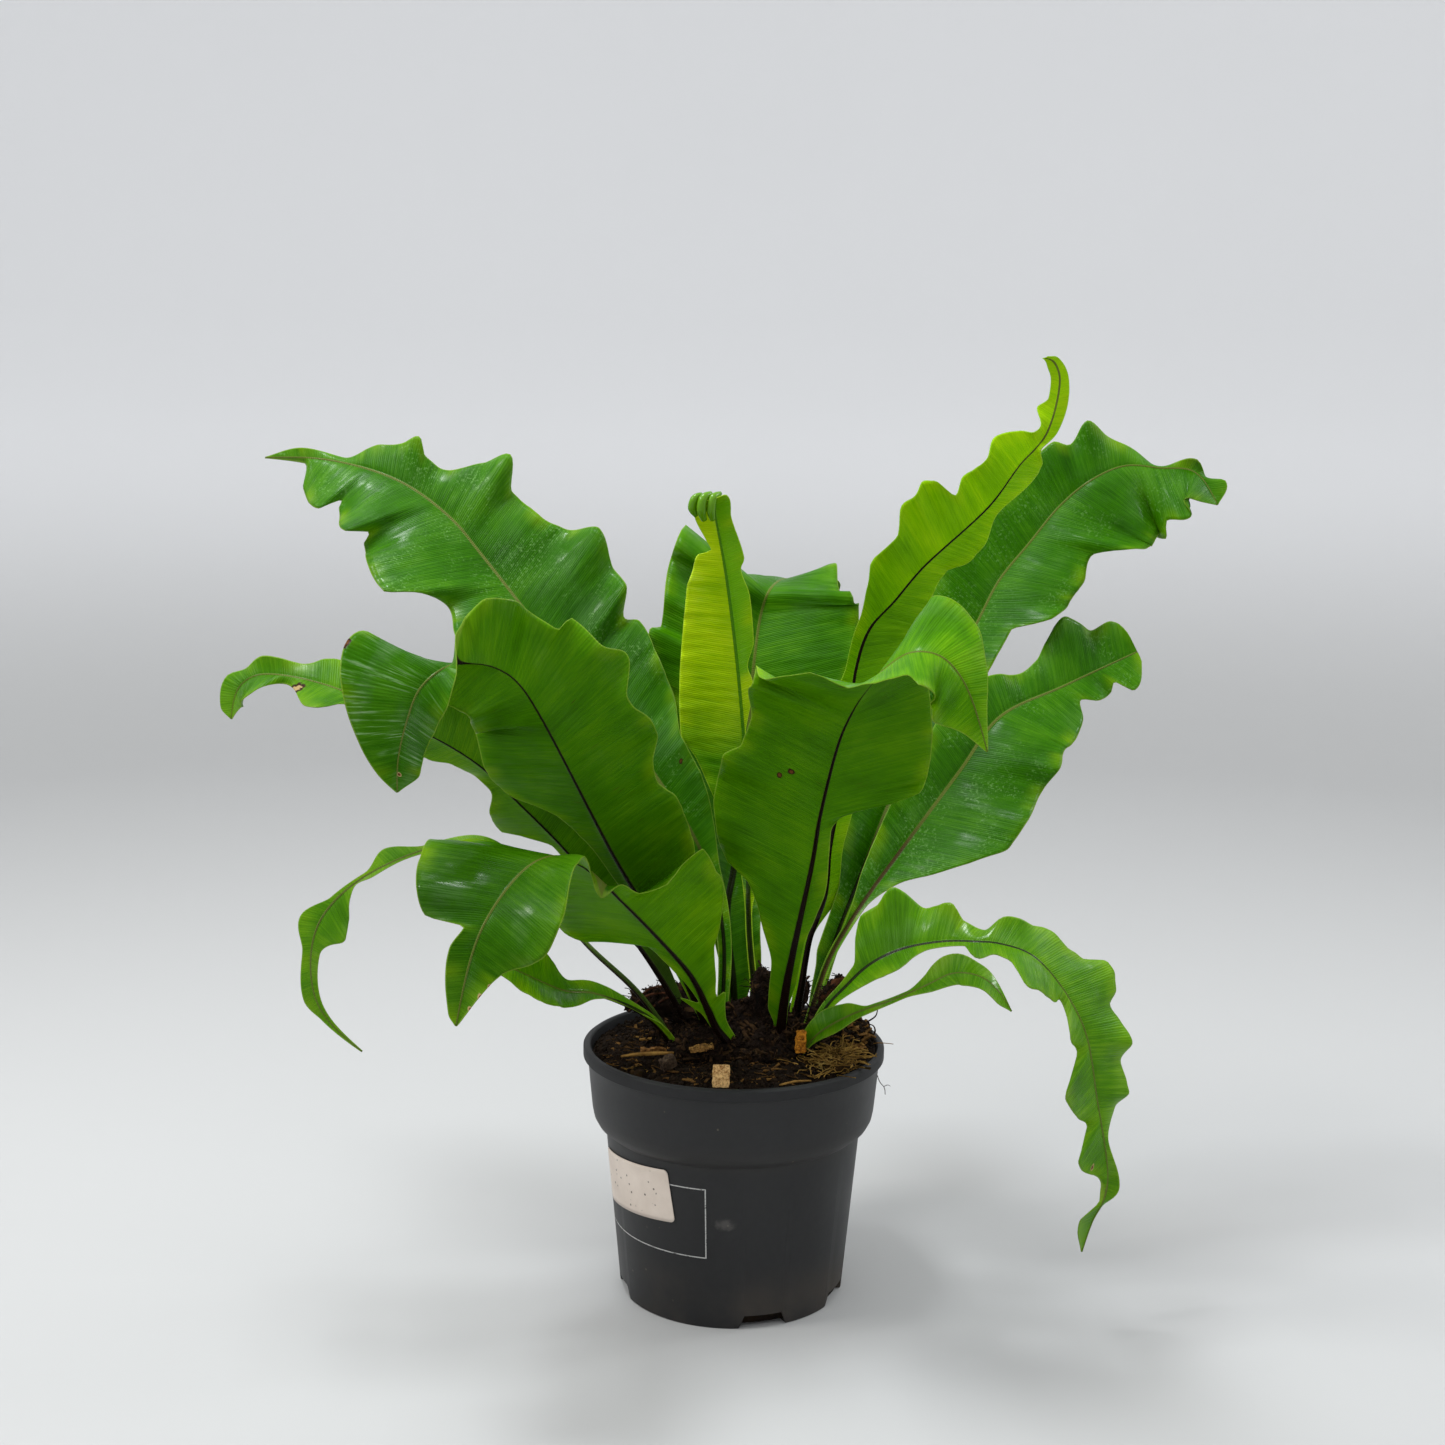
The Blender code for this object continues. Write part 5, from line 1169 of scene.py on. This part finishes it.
def flakeTree():  # the tilt is the most that a flake leans
    g = Scatter("flakes", shortest=0.003, longest=0.01, wide=0.002, thick=0.0006, tilt=0.3)
    block = g.node("GeometryNodeMeshCube", {"Size": (1, 1, 1), "Vertices X": 4})
    low, high = g.input("tilt") * -1, g.input("tilt")
    turned = g.join(g.random(low, high, 22), g.random(low, high, 23), g.random(-3.14, 3.14, 24))
    long = g.between("shortest", "longest", g.random(0.0, 1.0, 25) ** 2.0)
    wide = g.input("wide") * g.random(0.35, 1.0, 26)
    thick = g.input("thick") * g.random(0.5, 1.0, 27)
    many = g.copies(block, turned, g.join(long, wide, thick))
    bent = g.swayed(many, 260.0, (0.5, 0.5, 0.4), 0.0035)
    return g.finish(g.insideWall(bent), flat=True)


crumbs = crumbTree()
strands = strandTree()
flakes = flakeTree()


# Earthy finishes, as dark, light and tint, and the share of the tint

earthLooks = {
    "dark peat": ((0.002, 0.0012, 0.0006), (0.016, 0.0085, 0.004), (0.045, 0.024, 0.007), 0.3),
    "peat crumbs": ((0.002, 0.001, 0.0006), (0.02, 0.011, 0.005), (0.06, 0.03, 0.009), 0.36),
    "peat fibres": ((0.02, 0.009, 0.003), (0.12, 0.06, 0.015), (0.3, 0.18, 0.04), 0.4),
    "bark flakes": ((0.03, 0.013, 0.004), (0.2, 0.1, 0.025), (0.42, 0.24, 0.055), 0.45),
    "dry straw": ((0.1, 0.045, 0.01), (0.36, 0.2, 0.05), (0.5, 0.32, 0.09), 0.45),
    "dark twig": ((0.01, 0.005, 0.003), (0.05, 0.025, 0.012), (0.08, 0.04, 0.02), 0.4),
    "dead stalk": ((0.012, 0.004, 0.002), (0.09, 0.032, 0.014), (0.2, 0.1, 0.05), 0.3),
    "crown hairs": ((0.003, 0.0015, 0.0008), (0.018, 0.009, 0.0045), (0.07, 0.034, 0.012), 0.28),
    "crown scales": ((0.006, 0.003, 0.0012), (0.06, 0.03, 0.011), (0.26, 0.14, 0.04), 0.33),
    "coir threads": ((0.07, 0.032, 0.006), (0.34, 0.2, 0.045), (0.5, 0.34, 0.1), 0.4),
    "coir core": ((0.008, 0.004, 0.0015), (0.05, 0.025, 0.007), (0.09, 0.05, 0.013), 0.4),
}


def earthFinish(name, dark, light, tint, tintShare):
    f = Finish(name, 0.95, 0.12)
    place = f.place()
    tone = f.noise(place, 130.0, 6.0, 0.7)
    patch = f.ramp(f.noise(place, 55.0), 1 - tintShare, 1.12 - tintShare)
    f.feed("Base Color", f.mix(patch * 0.75, f.tones(tone, (0.32, dark), (0.68, light)), tint))
    f.bump(tone + f.noise(place, 700.0, 4.0) * 0.6, 0.0006, 0.8)
    return f.material


earths = {name: earthFinish(name, *look) for name, look in earthLooks.items()}


# What grows on each surface: tree, slot, finish and inputs

litter = {
    "soil": {
        "soil_crumbs": (crumbs, "soil", "peat crumbs", dict(
            density=360000.0, seed=5, facing=0.55, smallest=0.0004, largest=0.0022,
            reach=0.079)),
        "soil_clods": (crumbs, "soil", "peat crumbs", dict(
            density=16000.0, seed=15, facing=0.55, smallest=0.0015, largest=0.0048,
            reach=0.074)),
        "soil_fibres": (strands, "soil", "peat fibres", dict(
            density=26000.0, seed=9, facing=0.55, shortest=0.003, longest=0.012,
            thick=0.00024, curl=0.006, leastLean=1.42, mostLean=1.56, reach=0.069)),
        "soil_flakes": (flakes, "wood_bits", "bark flakes", dict(
            density=14000.0, seed=21, facing=0.55, shortest=0.0025, longest=0.012,
            wide=0.0019, thick=0.0008, tilt=0.3, reach=0.073)),
    },
    "heap": {
        "heap_flakes": (flakes, "wood_bits", "bark flakes", dict(
            density=150000.0, seed=31, facing=0.3, shortest=0.003, longest=0.015,
            wide=0.0028, thick=0.0009, tilt=0.75, reach=0.074)),
        "heap_crumbs": (crumbs, "soil", "peat crumbs", dict(
            density=500000.0, seed=32, facing=0.2, smallest=0.0004, largest=0.003,
            reach=0.078)),
    },
    "crown": {
        "crown_hairs": (strands, "crown_fibre", "crown hairs", dict(
            density=170000.0, seed=3, facing=-0.2, shortest=0.0015, longest=0.008,
            thick=0.00024, curl=0.004, curlScale=300.0, leastLean=1.0, mostLean=1.7)),
        "crown_crumbs": (crumbs, "crown_fibre", "crown hairs", dict(
            density=240000.0, seed=8, facing=0.1, smallest=0.0004, largest=0.0026)),
        "crown_scales": (flakes, "crown_fibre", "crown scales", dict(
            density=45000.0, seed=18, facing=0.25, shortest=0.003, longest=0.014,
            wide=0.0024, thick=0.001, tilt=1.2)),
    },
    "coir core": {
        "coir_threads": (strands, "coir", "coir threads", dict(
            density=420000.0, seed=4, facing=0.1, shortest=0.005, longest=0.015,
            thick=0.00034, curl=0.016, curlScale=110.0, leastLean=1.25, mostLean=1.7,
            reach=0.076)),
    },
    "soil beside the coir": {
        "coir_loose": (strands, "coir", "coir threads", dict(
            density=60000.0, seed=6, facing=0.5, shortest=0.006, longest=0.016,
            thick=0.0003, curl=0.014, curlScale=120.0, leastLean=1.35, mostLean=1.55,
            centreX=0.053, centreY=-0.041, reach=0.019)),
    },
}


def strew(place, surface):
    for name, (tree, slot, finish, values) in litter[place].items():
        tree.grow(name, surface, slot, **values, material=earths[finish])


# Soil

soil = {
    "edge": 138.5,
    "rise": 6,
    "tilt": 2.5,
    "radius": 80.5,
    "wallGap": 0.7,
    "floorGap": 0.3,
    "rimGap": 0.4,
    "rings": 62,
    "steps": 240,
    "lumps": [(2.6, 17, 1.5), (1.0, 4.5, 8.1)],  # height, length and seed
}
heap = {  # low mound of bark at the right, which leans on the pot's wall
    "middle": (66, 8),
    "reach": (17, 24),
    "height": 13,
    "depth": 8,
    "shares": (1.0, 0.99, 0.9, 0.78, 0.64, 0.48, 0.3, 0.12),
    "steps": 40,
    "sink": 1.5,
    "lumps": (1.6, 6, 3.3),  # height, length and seed
    "wall": 79.2,
}


def soilHeight(x, y):
    out = math.hypot(x, y) / soil["radius"]
    return soil["edge"] + soil["tilt"] * x / soil["radius"] + soil["rise"] * (1 - out**2)


def clump(x, y, scale, seed):  # smooth lumps between -1 and 1
    return noise.fractal(Vector((x / scale, y / scale, seed)), 0.7, 2.1, 4)


def makeSoil():
    steps, floor = soil["steps"], pot["floor"] + soil["floorGap"]
    rings = [(0, 0, floor), circle(pot["inside"][-1][0] - soil["floorGap"], floor, steps)]
    rings += [circle(r - soil["wallGap"], z, steps) for r, z in pot["inside"][-2:0:-1]]
    for share in np.linspace(1, 0.02, soil["rings"]):
        level = []
        for x, y, _ in circle(share * (soil["radius"] - soil["rimGap"]), 0, steps):
            lift = sum(high * clump(x, y, long, seed) for high, long, seed in soil["lumps"])
            calm = min(1, (1 - share) * 9 + 0.45)  # the lumps are lower beside the wall
            level.append((x, y, soilHeight(x, y) + lift * calm))
        rings.append(level)
    rings.append((0, 0, soilHeight(0, 0)))
    piece = newMesh("soil_surface", *polarSolid(rings, steps), earths["dark peat"])
    dress(piece, "soil", "soil")
    return piece


def makeHeap():
    (x, y), (wide, long), steps = heap["middle"], heap["reach"], heap["steps"]
    high, size, seed = heap["lumps"]
    rings = [(x, y, soilHeight(x, y) - heap["depth"])]
    for share in heap["shares"]:
        ring = []
        for j in range(steps):
            a = 2 * math.pi * j / steps
            px, py = x + wide * share * math.cos(a), y + long * share * math.sin(a)
            fit = min(1, heap["wall"] / math.hypot(px, py))
            px, py = px * fit, py * fit
            lift = -heap["depth"]
            if share < 1:
                lift = -heap["sink"] + heap["height"] * (1 - share**2)
                lift += high * clump(px, py, size, seed)
            ring.append((px, py, soilHeight(px, py) + lift))
        rings.append(ring)
    rings.append((x, y, soilHeight(x, y) + heap["height"]))
    piece = newMesh("bark_heap", *polarSolid(rings, steps), earths["peat crumbs"])
    dress(piece, "soil")
    return piece


# Tubes along a route: the rolled tip of the young frond, and single straws and twigs

tubeSide = (0.31, 0.93, 0.17)  # a direction that no route follows


def tube(name, route, radii, material, steps=6):  # a closed round strand
    at = np.linspace(0, 1, 4 * len(route))
    middle = alongRib(route, at)[0]
    forward = unit(np.gradient(middle, axis=0))
    side = unit(np.cross(forward, np.array(tubeSide)))
    other = np.cross(forward, side)
    size = np.interp(at, np.linspace(0, 1, len(radii)), radii)
    turns = [2 * math.pi * j / steps for j in range(steps)]
    rings = [tuple(middle[0])]
    for i in range(len(at)):
        rings.append([tuple(middle[i] + size[i] * (math.cos(a) * side[i] + math.sin(a) * other[i]))
                      for a in turns])
    rings.append(tuple(middle[-1]))
    return newMesh(name, *polarSolid(rings, steps), material)


curl = {  # route and radii of each roll
    "left": ([(-24, -8, 438.5), (-26, -11, 443), (-24.5, -12, 448), (-21, -10, 450)],
             [1.2, 2.4, 2.3, 1.2]),
    "middle": ([(-19.5, -9, 436.5), (-21, -13, 442), (-20, -13.5, 448), (-16, -10, 450.5)],
               [1.6, 2.7, 2.5, 1.4]),
    "right": ([(-15, -8, 436.5), (-16, -12.5, 442), (-15, -12.5, 448), (-11, -8, 450.5)],
              [1.4, 2.4, 2.3, 1.3]),
}
curlLook = dict(lower=-1.0, deepRight=-1.0, gloss=0.3, tipTint=(0.045, 0.2, 0.002))
curlLayers = {"acrossRib": 9.0, "fromRib": 9.0, "fromMargin": 20.0}  # as far out on the blade


def makeCurl():
    given = {**plainFrond, **frondLooks["frond_young_centre"], **curlLook}
    finish = leafFinish("rolled tip", given)
    for name, (route, radii) in curl.items():
        piece = tube("frond_young_curl_" + name, route, radii, finish, 14)
        for layer, value in curlLayers.items():
            addLayer(piece, layer, np.full(len(piece.data.vertices), value))
        dress(piece, "young_leaf")


strayFinishes = {"straw": "dry straw", "stalk": "dead stalk"}  # and "dark twig" for the rest
stray = {  # routes and radii
    "rim_twig": ([(70, 12, 146), (76, 13, 150), (81, 12, 154), (82, 11, 158)], [0.7, 0.5, 0.3]),
    "rim_straw": ([(74, -4, 141), (80, -5, 143.5), (85, -5, 143.6), (90, -6, 143.4)],
        [0.4, 0.3, 0.2]),
    "rim_hook": ([(77, 2, 144), (80, 1, 148), (79, 0, 152), (76, 0, 153)], [0.5, 0.5, 0.3]),
    "wall_fibre": ([(80.6, -15, 128), (82.2, -15, 124), (84.6, -15, 121), (85.2, -15, 117)],
        [0.25, 0.25, 0.2]),
    "wall_fork": ([(84.2, -15, 121.5), (86.5, -15, 122.5), (88, -15, 121.8)], [0.2, 0.15]),
    "heap_straw": ([(52, -8, 147), (60, -12, 146.5), (68, -16, 144.5), (75, -17, 142.5)],
        [0.7, 0.8, 0.7]),
    "heap_straw_two": ([(58, 2, 152), (66, 0, 151), (72, -4, 147), (74, -7, 143)],
        [0.8, 0.9, 0.6]),
    "front_straw": ([(24, -71, 141), (32, -68, 142), (41, -65, 141.6)], [0.6, 0.8, 0.5]),
    "long_straw": ([(-33, -39, 147.5), (-44, -37, 146.5), (-55, -35, 145), (-62, -34, 143.5)],
        [0.9, 1.3, 0.7]),
    "left_straw": ([(-53, -5, 144), (-40, -8, 145.5), (-29, -9.5, 145)], [0.8, 1.5, 0.9]),
    "middle_straw": ([(-24, -14, 145.5), (-16, -11, 147), (-9, -8, 147)], [0.8, 1.4, 0.8]),
    "curled_straw": ([(-3, 5, 150), (2, 4, 151.5), (7, 1, 149.5), (5, -3, 147.5)],
        [0.6, 1.2, 0.7]),
    "brown_root": ([(12, 12, 151), (19, 2, 149), (26, -8, 147), (31, -16, 144)], [1.6, 2.0, 1.2]),
    "heap_straw_three": ([(60, 6, 153), (68, 1, 150.5), (75, -6, 147)], [1.2, 1.7, 1.0]),
    "heap_straw_four": ([(56, -3, 149.5), (65, -7, 148), (73, -13, 144.5)], [0.9, 1.3, 0.8]),
    "stalk_one": ([(-57, 8, 161), (-48, 7, 170), (-38, 6, 172), (-27, 5, 169)], [0.5, 0.8, 0.8]),
    "stalk_two": ([(-60, 6, 157), (-53, 5, 164.5), (-44, 4, 168.5), (-33, 3, 168)],
        [0.4, 0.7, 0.7]),
    "stalk_three": ([(-47, 2, 160), (-40, 1, 165.5), (-33, 1, 168), (-25, 0, 165)],
        [0.5, 0.8, 0.6]),
}


def makeStray():
    for name, (route, radii) in stray.items():
        finish = next((look for word, look in strayFinishes.items() if word in name), "dark twig")
        dress(tube(name, route, radii, earths[finish]), "wood_bits")


# Crown

crown = {
    "rough": 2.6,
    "roughScale": 110,  # lumps per metre
    "levels": 2,
    "tones": ((0.002, 0.0011, 0.0007), (0.022, 0.01, 0.0045)),
    "rust": (0.09, 0.032, 0.012),
    "rustAbove": (164, 180),
    "rustRight": (30, 44),
}


def crownFinish():
    f = Finish("crown fibre", 0.9, 0.12)
    place = f.place()
    x, y, z = f.split(place)
    tone = f.noise(f.vector("MULTIPLY", place, (1.0, 1.0, 0.35)), 190.0, 6.0, 0.7)
    above = f.ramp(z, *(height * mm for height in crown["rustAbove"]))
    rust = above * f.ramp(x, *(reach * mm for reach in crown["rustRight"]))
    colour = f.tones(tone, *zip((0.35, 0.72), crown["tones"]))
    f.feed("Base Color", f.mix(rust * 0.8, colour, crown["rust"]))
    f.bump(tone, 0.001, 1.0)
    return f.material


def makeCrown():
    piece = copyOfNode("crown_mass", "crown", crownFinish())
    refine(piece, crown["levels"])
    count = len(piece.data.vertices)
    normals, co = np.zeros(count * 3, np.float32), np.zeros(count * 3, np.float32)
    piece.data.vertices.foreach_get("normal", normals)
    piece.data.vertices.foreach_get("co", co)
    normals, co = normals.reshape(-1, 3), co.reshape(-1, 3)
    push = np.array([noise.fractal(Vector(p) * crown["roughScale"], 0.8, 2.1, 5)
                     for p in co.tolist()])
    co += normals * (push * crown["rough"] * mm)[:, None]
    piece.data.vertices.foreach_set("co", co.ravel())
    piece.data.update()
    dress(piece, "crown_fibre", "crown")
    strew("crown", piece)


# Wood chips and the tuft of coir

chipLooks = {  # dark and light grain, and roughness
    "wood_chip_pale": ((0.24, 0.09, 0.02), (0.74, 0.48, 0.2), 0.5),
    "wood_chip_orange": ((0.13, 0.035, 0.003), (0.64, 0.25, 0.02), 1.1),
    "wood_chip_left": ((0.05, 0.02, 0.006), (0.28, 0.13, 0.035), 1.1),
    "wood_chip_middle": ((0.07, 0.03, 0.008), (0.42, 0.22, 0.06), 1.1),
    "bark_lump": ((0.018, 0.01, 0.006), (0.08, 0.05, 0.03), 1.1),
}
chipMesh = {"levels": 3, "roughScale": 400}  # lumps per metre


def chipFinish(name, dark, light):
    f = Finish(name + " grain", 0.85, 0.15)
    place = f.place()
    grain = f.noise(f.vector("MULTIPLY", place, (1.0, 0.3, 1.0)), 900.0, 4.0, 0.7)
    colour = f.tones(grain * 0.7 + f.noise(place, 300.0, 2.0) * 0.3, (0.38, dark), (0.58, light))
    pits = f.dots(place, 800.0, 0.15, 0.3) * 0.55
    f.feed("Base Color", f.mix(pits, colour, tuple(channel * 0.3 for channel in dark)))
    f.bump(grain, 0.0004, 0.8)
    return f.material


def makeChips():
    for node, (dark, light, rough) in chipLooks.items():
        piece = copyOfNode(node + "_wood", node, chipFinish(node, dark, light), smooth=False)
        refine(piece, chipMesh["levels"])
        for vertex in piece.data.vertices:
            vertex.co += rough * mm * noise.noise_vector(vertex.co * chipMesh["roughScale"])
        dress(piece, "wood_bits", node)


def makeCoir(surface):
    core = copyOfNode("coir_core", "coir_tuft", earths["coir core"])
    dress(core, "coir", "coir_tuft")
    strew("coir core", core)
    strew("soil beside the coir", surface)


soilPiece = makeSoil()
strew("soil", soilPiece)
strew("heap", makeHeap())
makeStray()
makeCurl()
print("soil made")
makeCrown()
print("crown made")
makeChips()
makeCoir(soilPiece)
print("loose matter made")


# Floor, backdrop, light and camera

studio = {
    "floorRadius": 1.9,  # metres, like the next two
    "bendRadius": 0.7,
    "wallHeight": 1.5,
    "steps": 96,
    "floor": (0.545, 0.545, 0.54),
    "wall": (0.87, 0.87, 0.88),
    "cloud": (0.4, 0.4, 0.4),
    "air": (0.96, 0.98, 1.0),
    "airStrength": 0.87,
}


def makeStudio():
    f = Finish("seamless paper", 0.9, 0.1)
    place = f.place()
    shade = f.mix(f.ramp(f.split(place)[2], 0.0, 0.5), studio["floor"], studio["wall"])
    f.feed("Base Color", f.mix(f.noise(place, 1.3) * 0.06, shade, studio["cloud"]))
    wide, bend, steps = studio["floorRadius"], studio["bendRadius"], studio["steps"]
    section = [(wide * share, 0) for share in (0.25, 0.5, 0.75, 1)]
    for angle in range(10, 91, 10):
        t = math.radians(angle)
        section.append((wide + bend * math.sin(t), bend * (1 - math.cos(t))))
    section.append((section[-1][0], studio["wallHeight"]))
    points, faces = [(0, 0, 0)], []
    for r, z in section:
        points += circle(r, z, steps)
    for j in range(steps):
        k = (j + 1) % steps
        faces.append((0, 1 + j, 1 + k))
        for i in range(len(section) - 1):
            a, b = 1 + i * steps + j, 1 + i * steps + k
            faces.append((a, a + steps, b + steps, b))
    mesh = bpy.data.meshes.new("studio_paper")
    mesh.from_pydata(points, [], faces)
    paper = asPiece("studio_paper", mesh, f.material)


lamps = {  # place in metres, size, watts, colour, point that it looks at
    "overhead": ((-0.35, -0.05, 1.55), (0.4, 0.25), 10.5, (0.93, 0.97, 1.0), (0, 0, 0.3)),
    "key": ((-1.05, -0.35, 1.3), (0.35, 0.35), 7.5, (1.0, 0.99, 0.97), (0, 0, 0.25)),
    "side": ((1.2, 0.2, 1.15), (0.4, 0.3), 5, (0.95, 0.98, 1.0), (0, 0, 0.3)),
}


def makeLamps():
    for name, (place, (wide, tall), watts, colour, target) in lamps.items():
        light = bpy.data.lights.new(name, "AREA")
        light.shape = "RECTANGLE"
        light.size, light.size_y = wide, tall
        light.energy = watts
        light.color = colour
        lamp = bpy.data.objects.new(name, light)
        lamp.location = place
        lamp.rotation_mode = "QUATERNION"
        lamp.rotation_quaternion = (Vector(target) - Vector(place)).to_track_quat("-Z", "Y")
        scene.collection.objects.link(lamp)
    world = bpy.data.worlds.new("studio air")
    world.use_nodes = True
    air = world.node_tree.nodes["Background"].inputs
    air["Color"].default_value = (*studio["air"], 1)
    air["Strength"].default_value = studio["airStrength"]
    scene.world = world


lens = {  # fitted to the pot in the photo
    "focal": 1898.4,  # in the photo's pixels, like its width
    "width": 1445,
    "down": 8.28,
    "roll": 0.65,
    "place": (-0.0084, -1.039, 0.4758),  # metres
    "sensor": 36,
}


def makeCamera():
    data = bpy.data.cameras.new("camera")
    data.sensor_width = lens["sensor"]
    data.lens = lens["focal"] / lens["width"] * lens["sensor"]
    data.clip_start, data.clip_end = 0.05, 20
    down, roll = math.radians(lens["down"]), math.radians(lens["roll"])
    forward = Vector((0, math.cos(down), -math.sin(down)))
    level, up = Vector((1, 0, 0)), Vector((0, math.sin(down), math.cos(down)))
    right = level * math.cos(roll) + up * math.sin(roll)
    upward = up * math.cos(roll) - level * math.sin(roll)
    camera = bpy.data.objects.new("camera", data)
    camera.rotation_mode = "QUATERNION"
    camera.rotation_quaternion = Matrix((right, upward, -forward)).transposed().to_quaternion()
    camera.location = lens["place"]
    scene.collection.objects.link(camera)
    scene.camera = camera


makeStudio()
makeLamps()
makeCamera()
print("studio made")
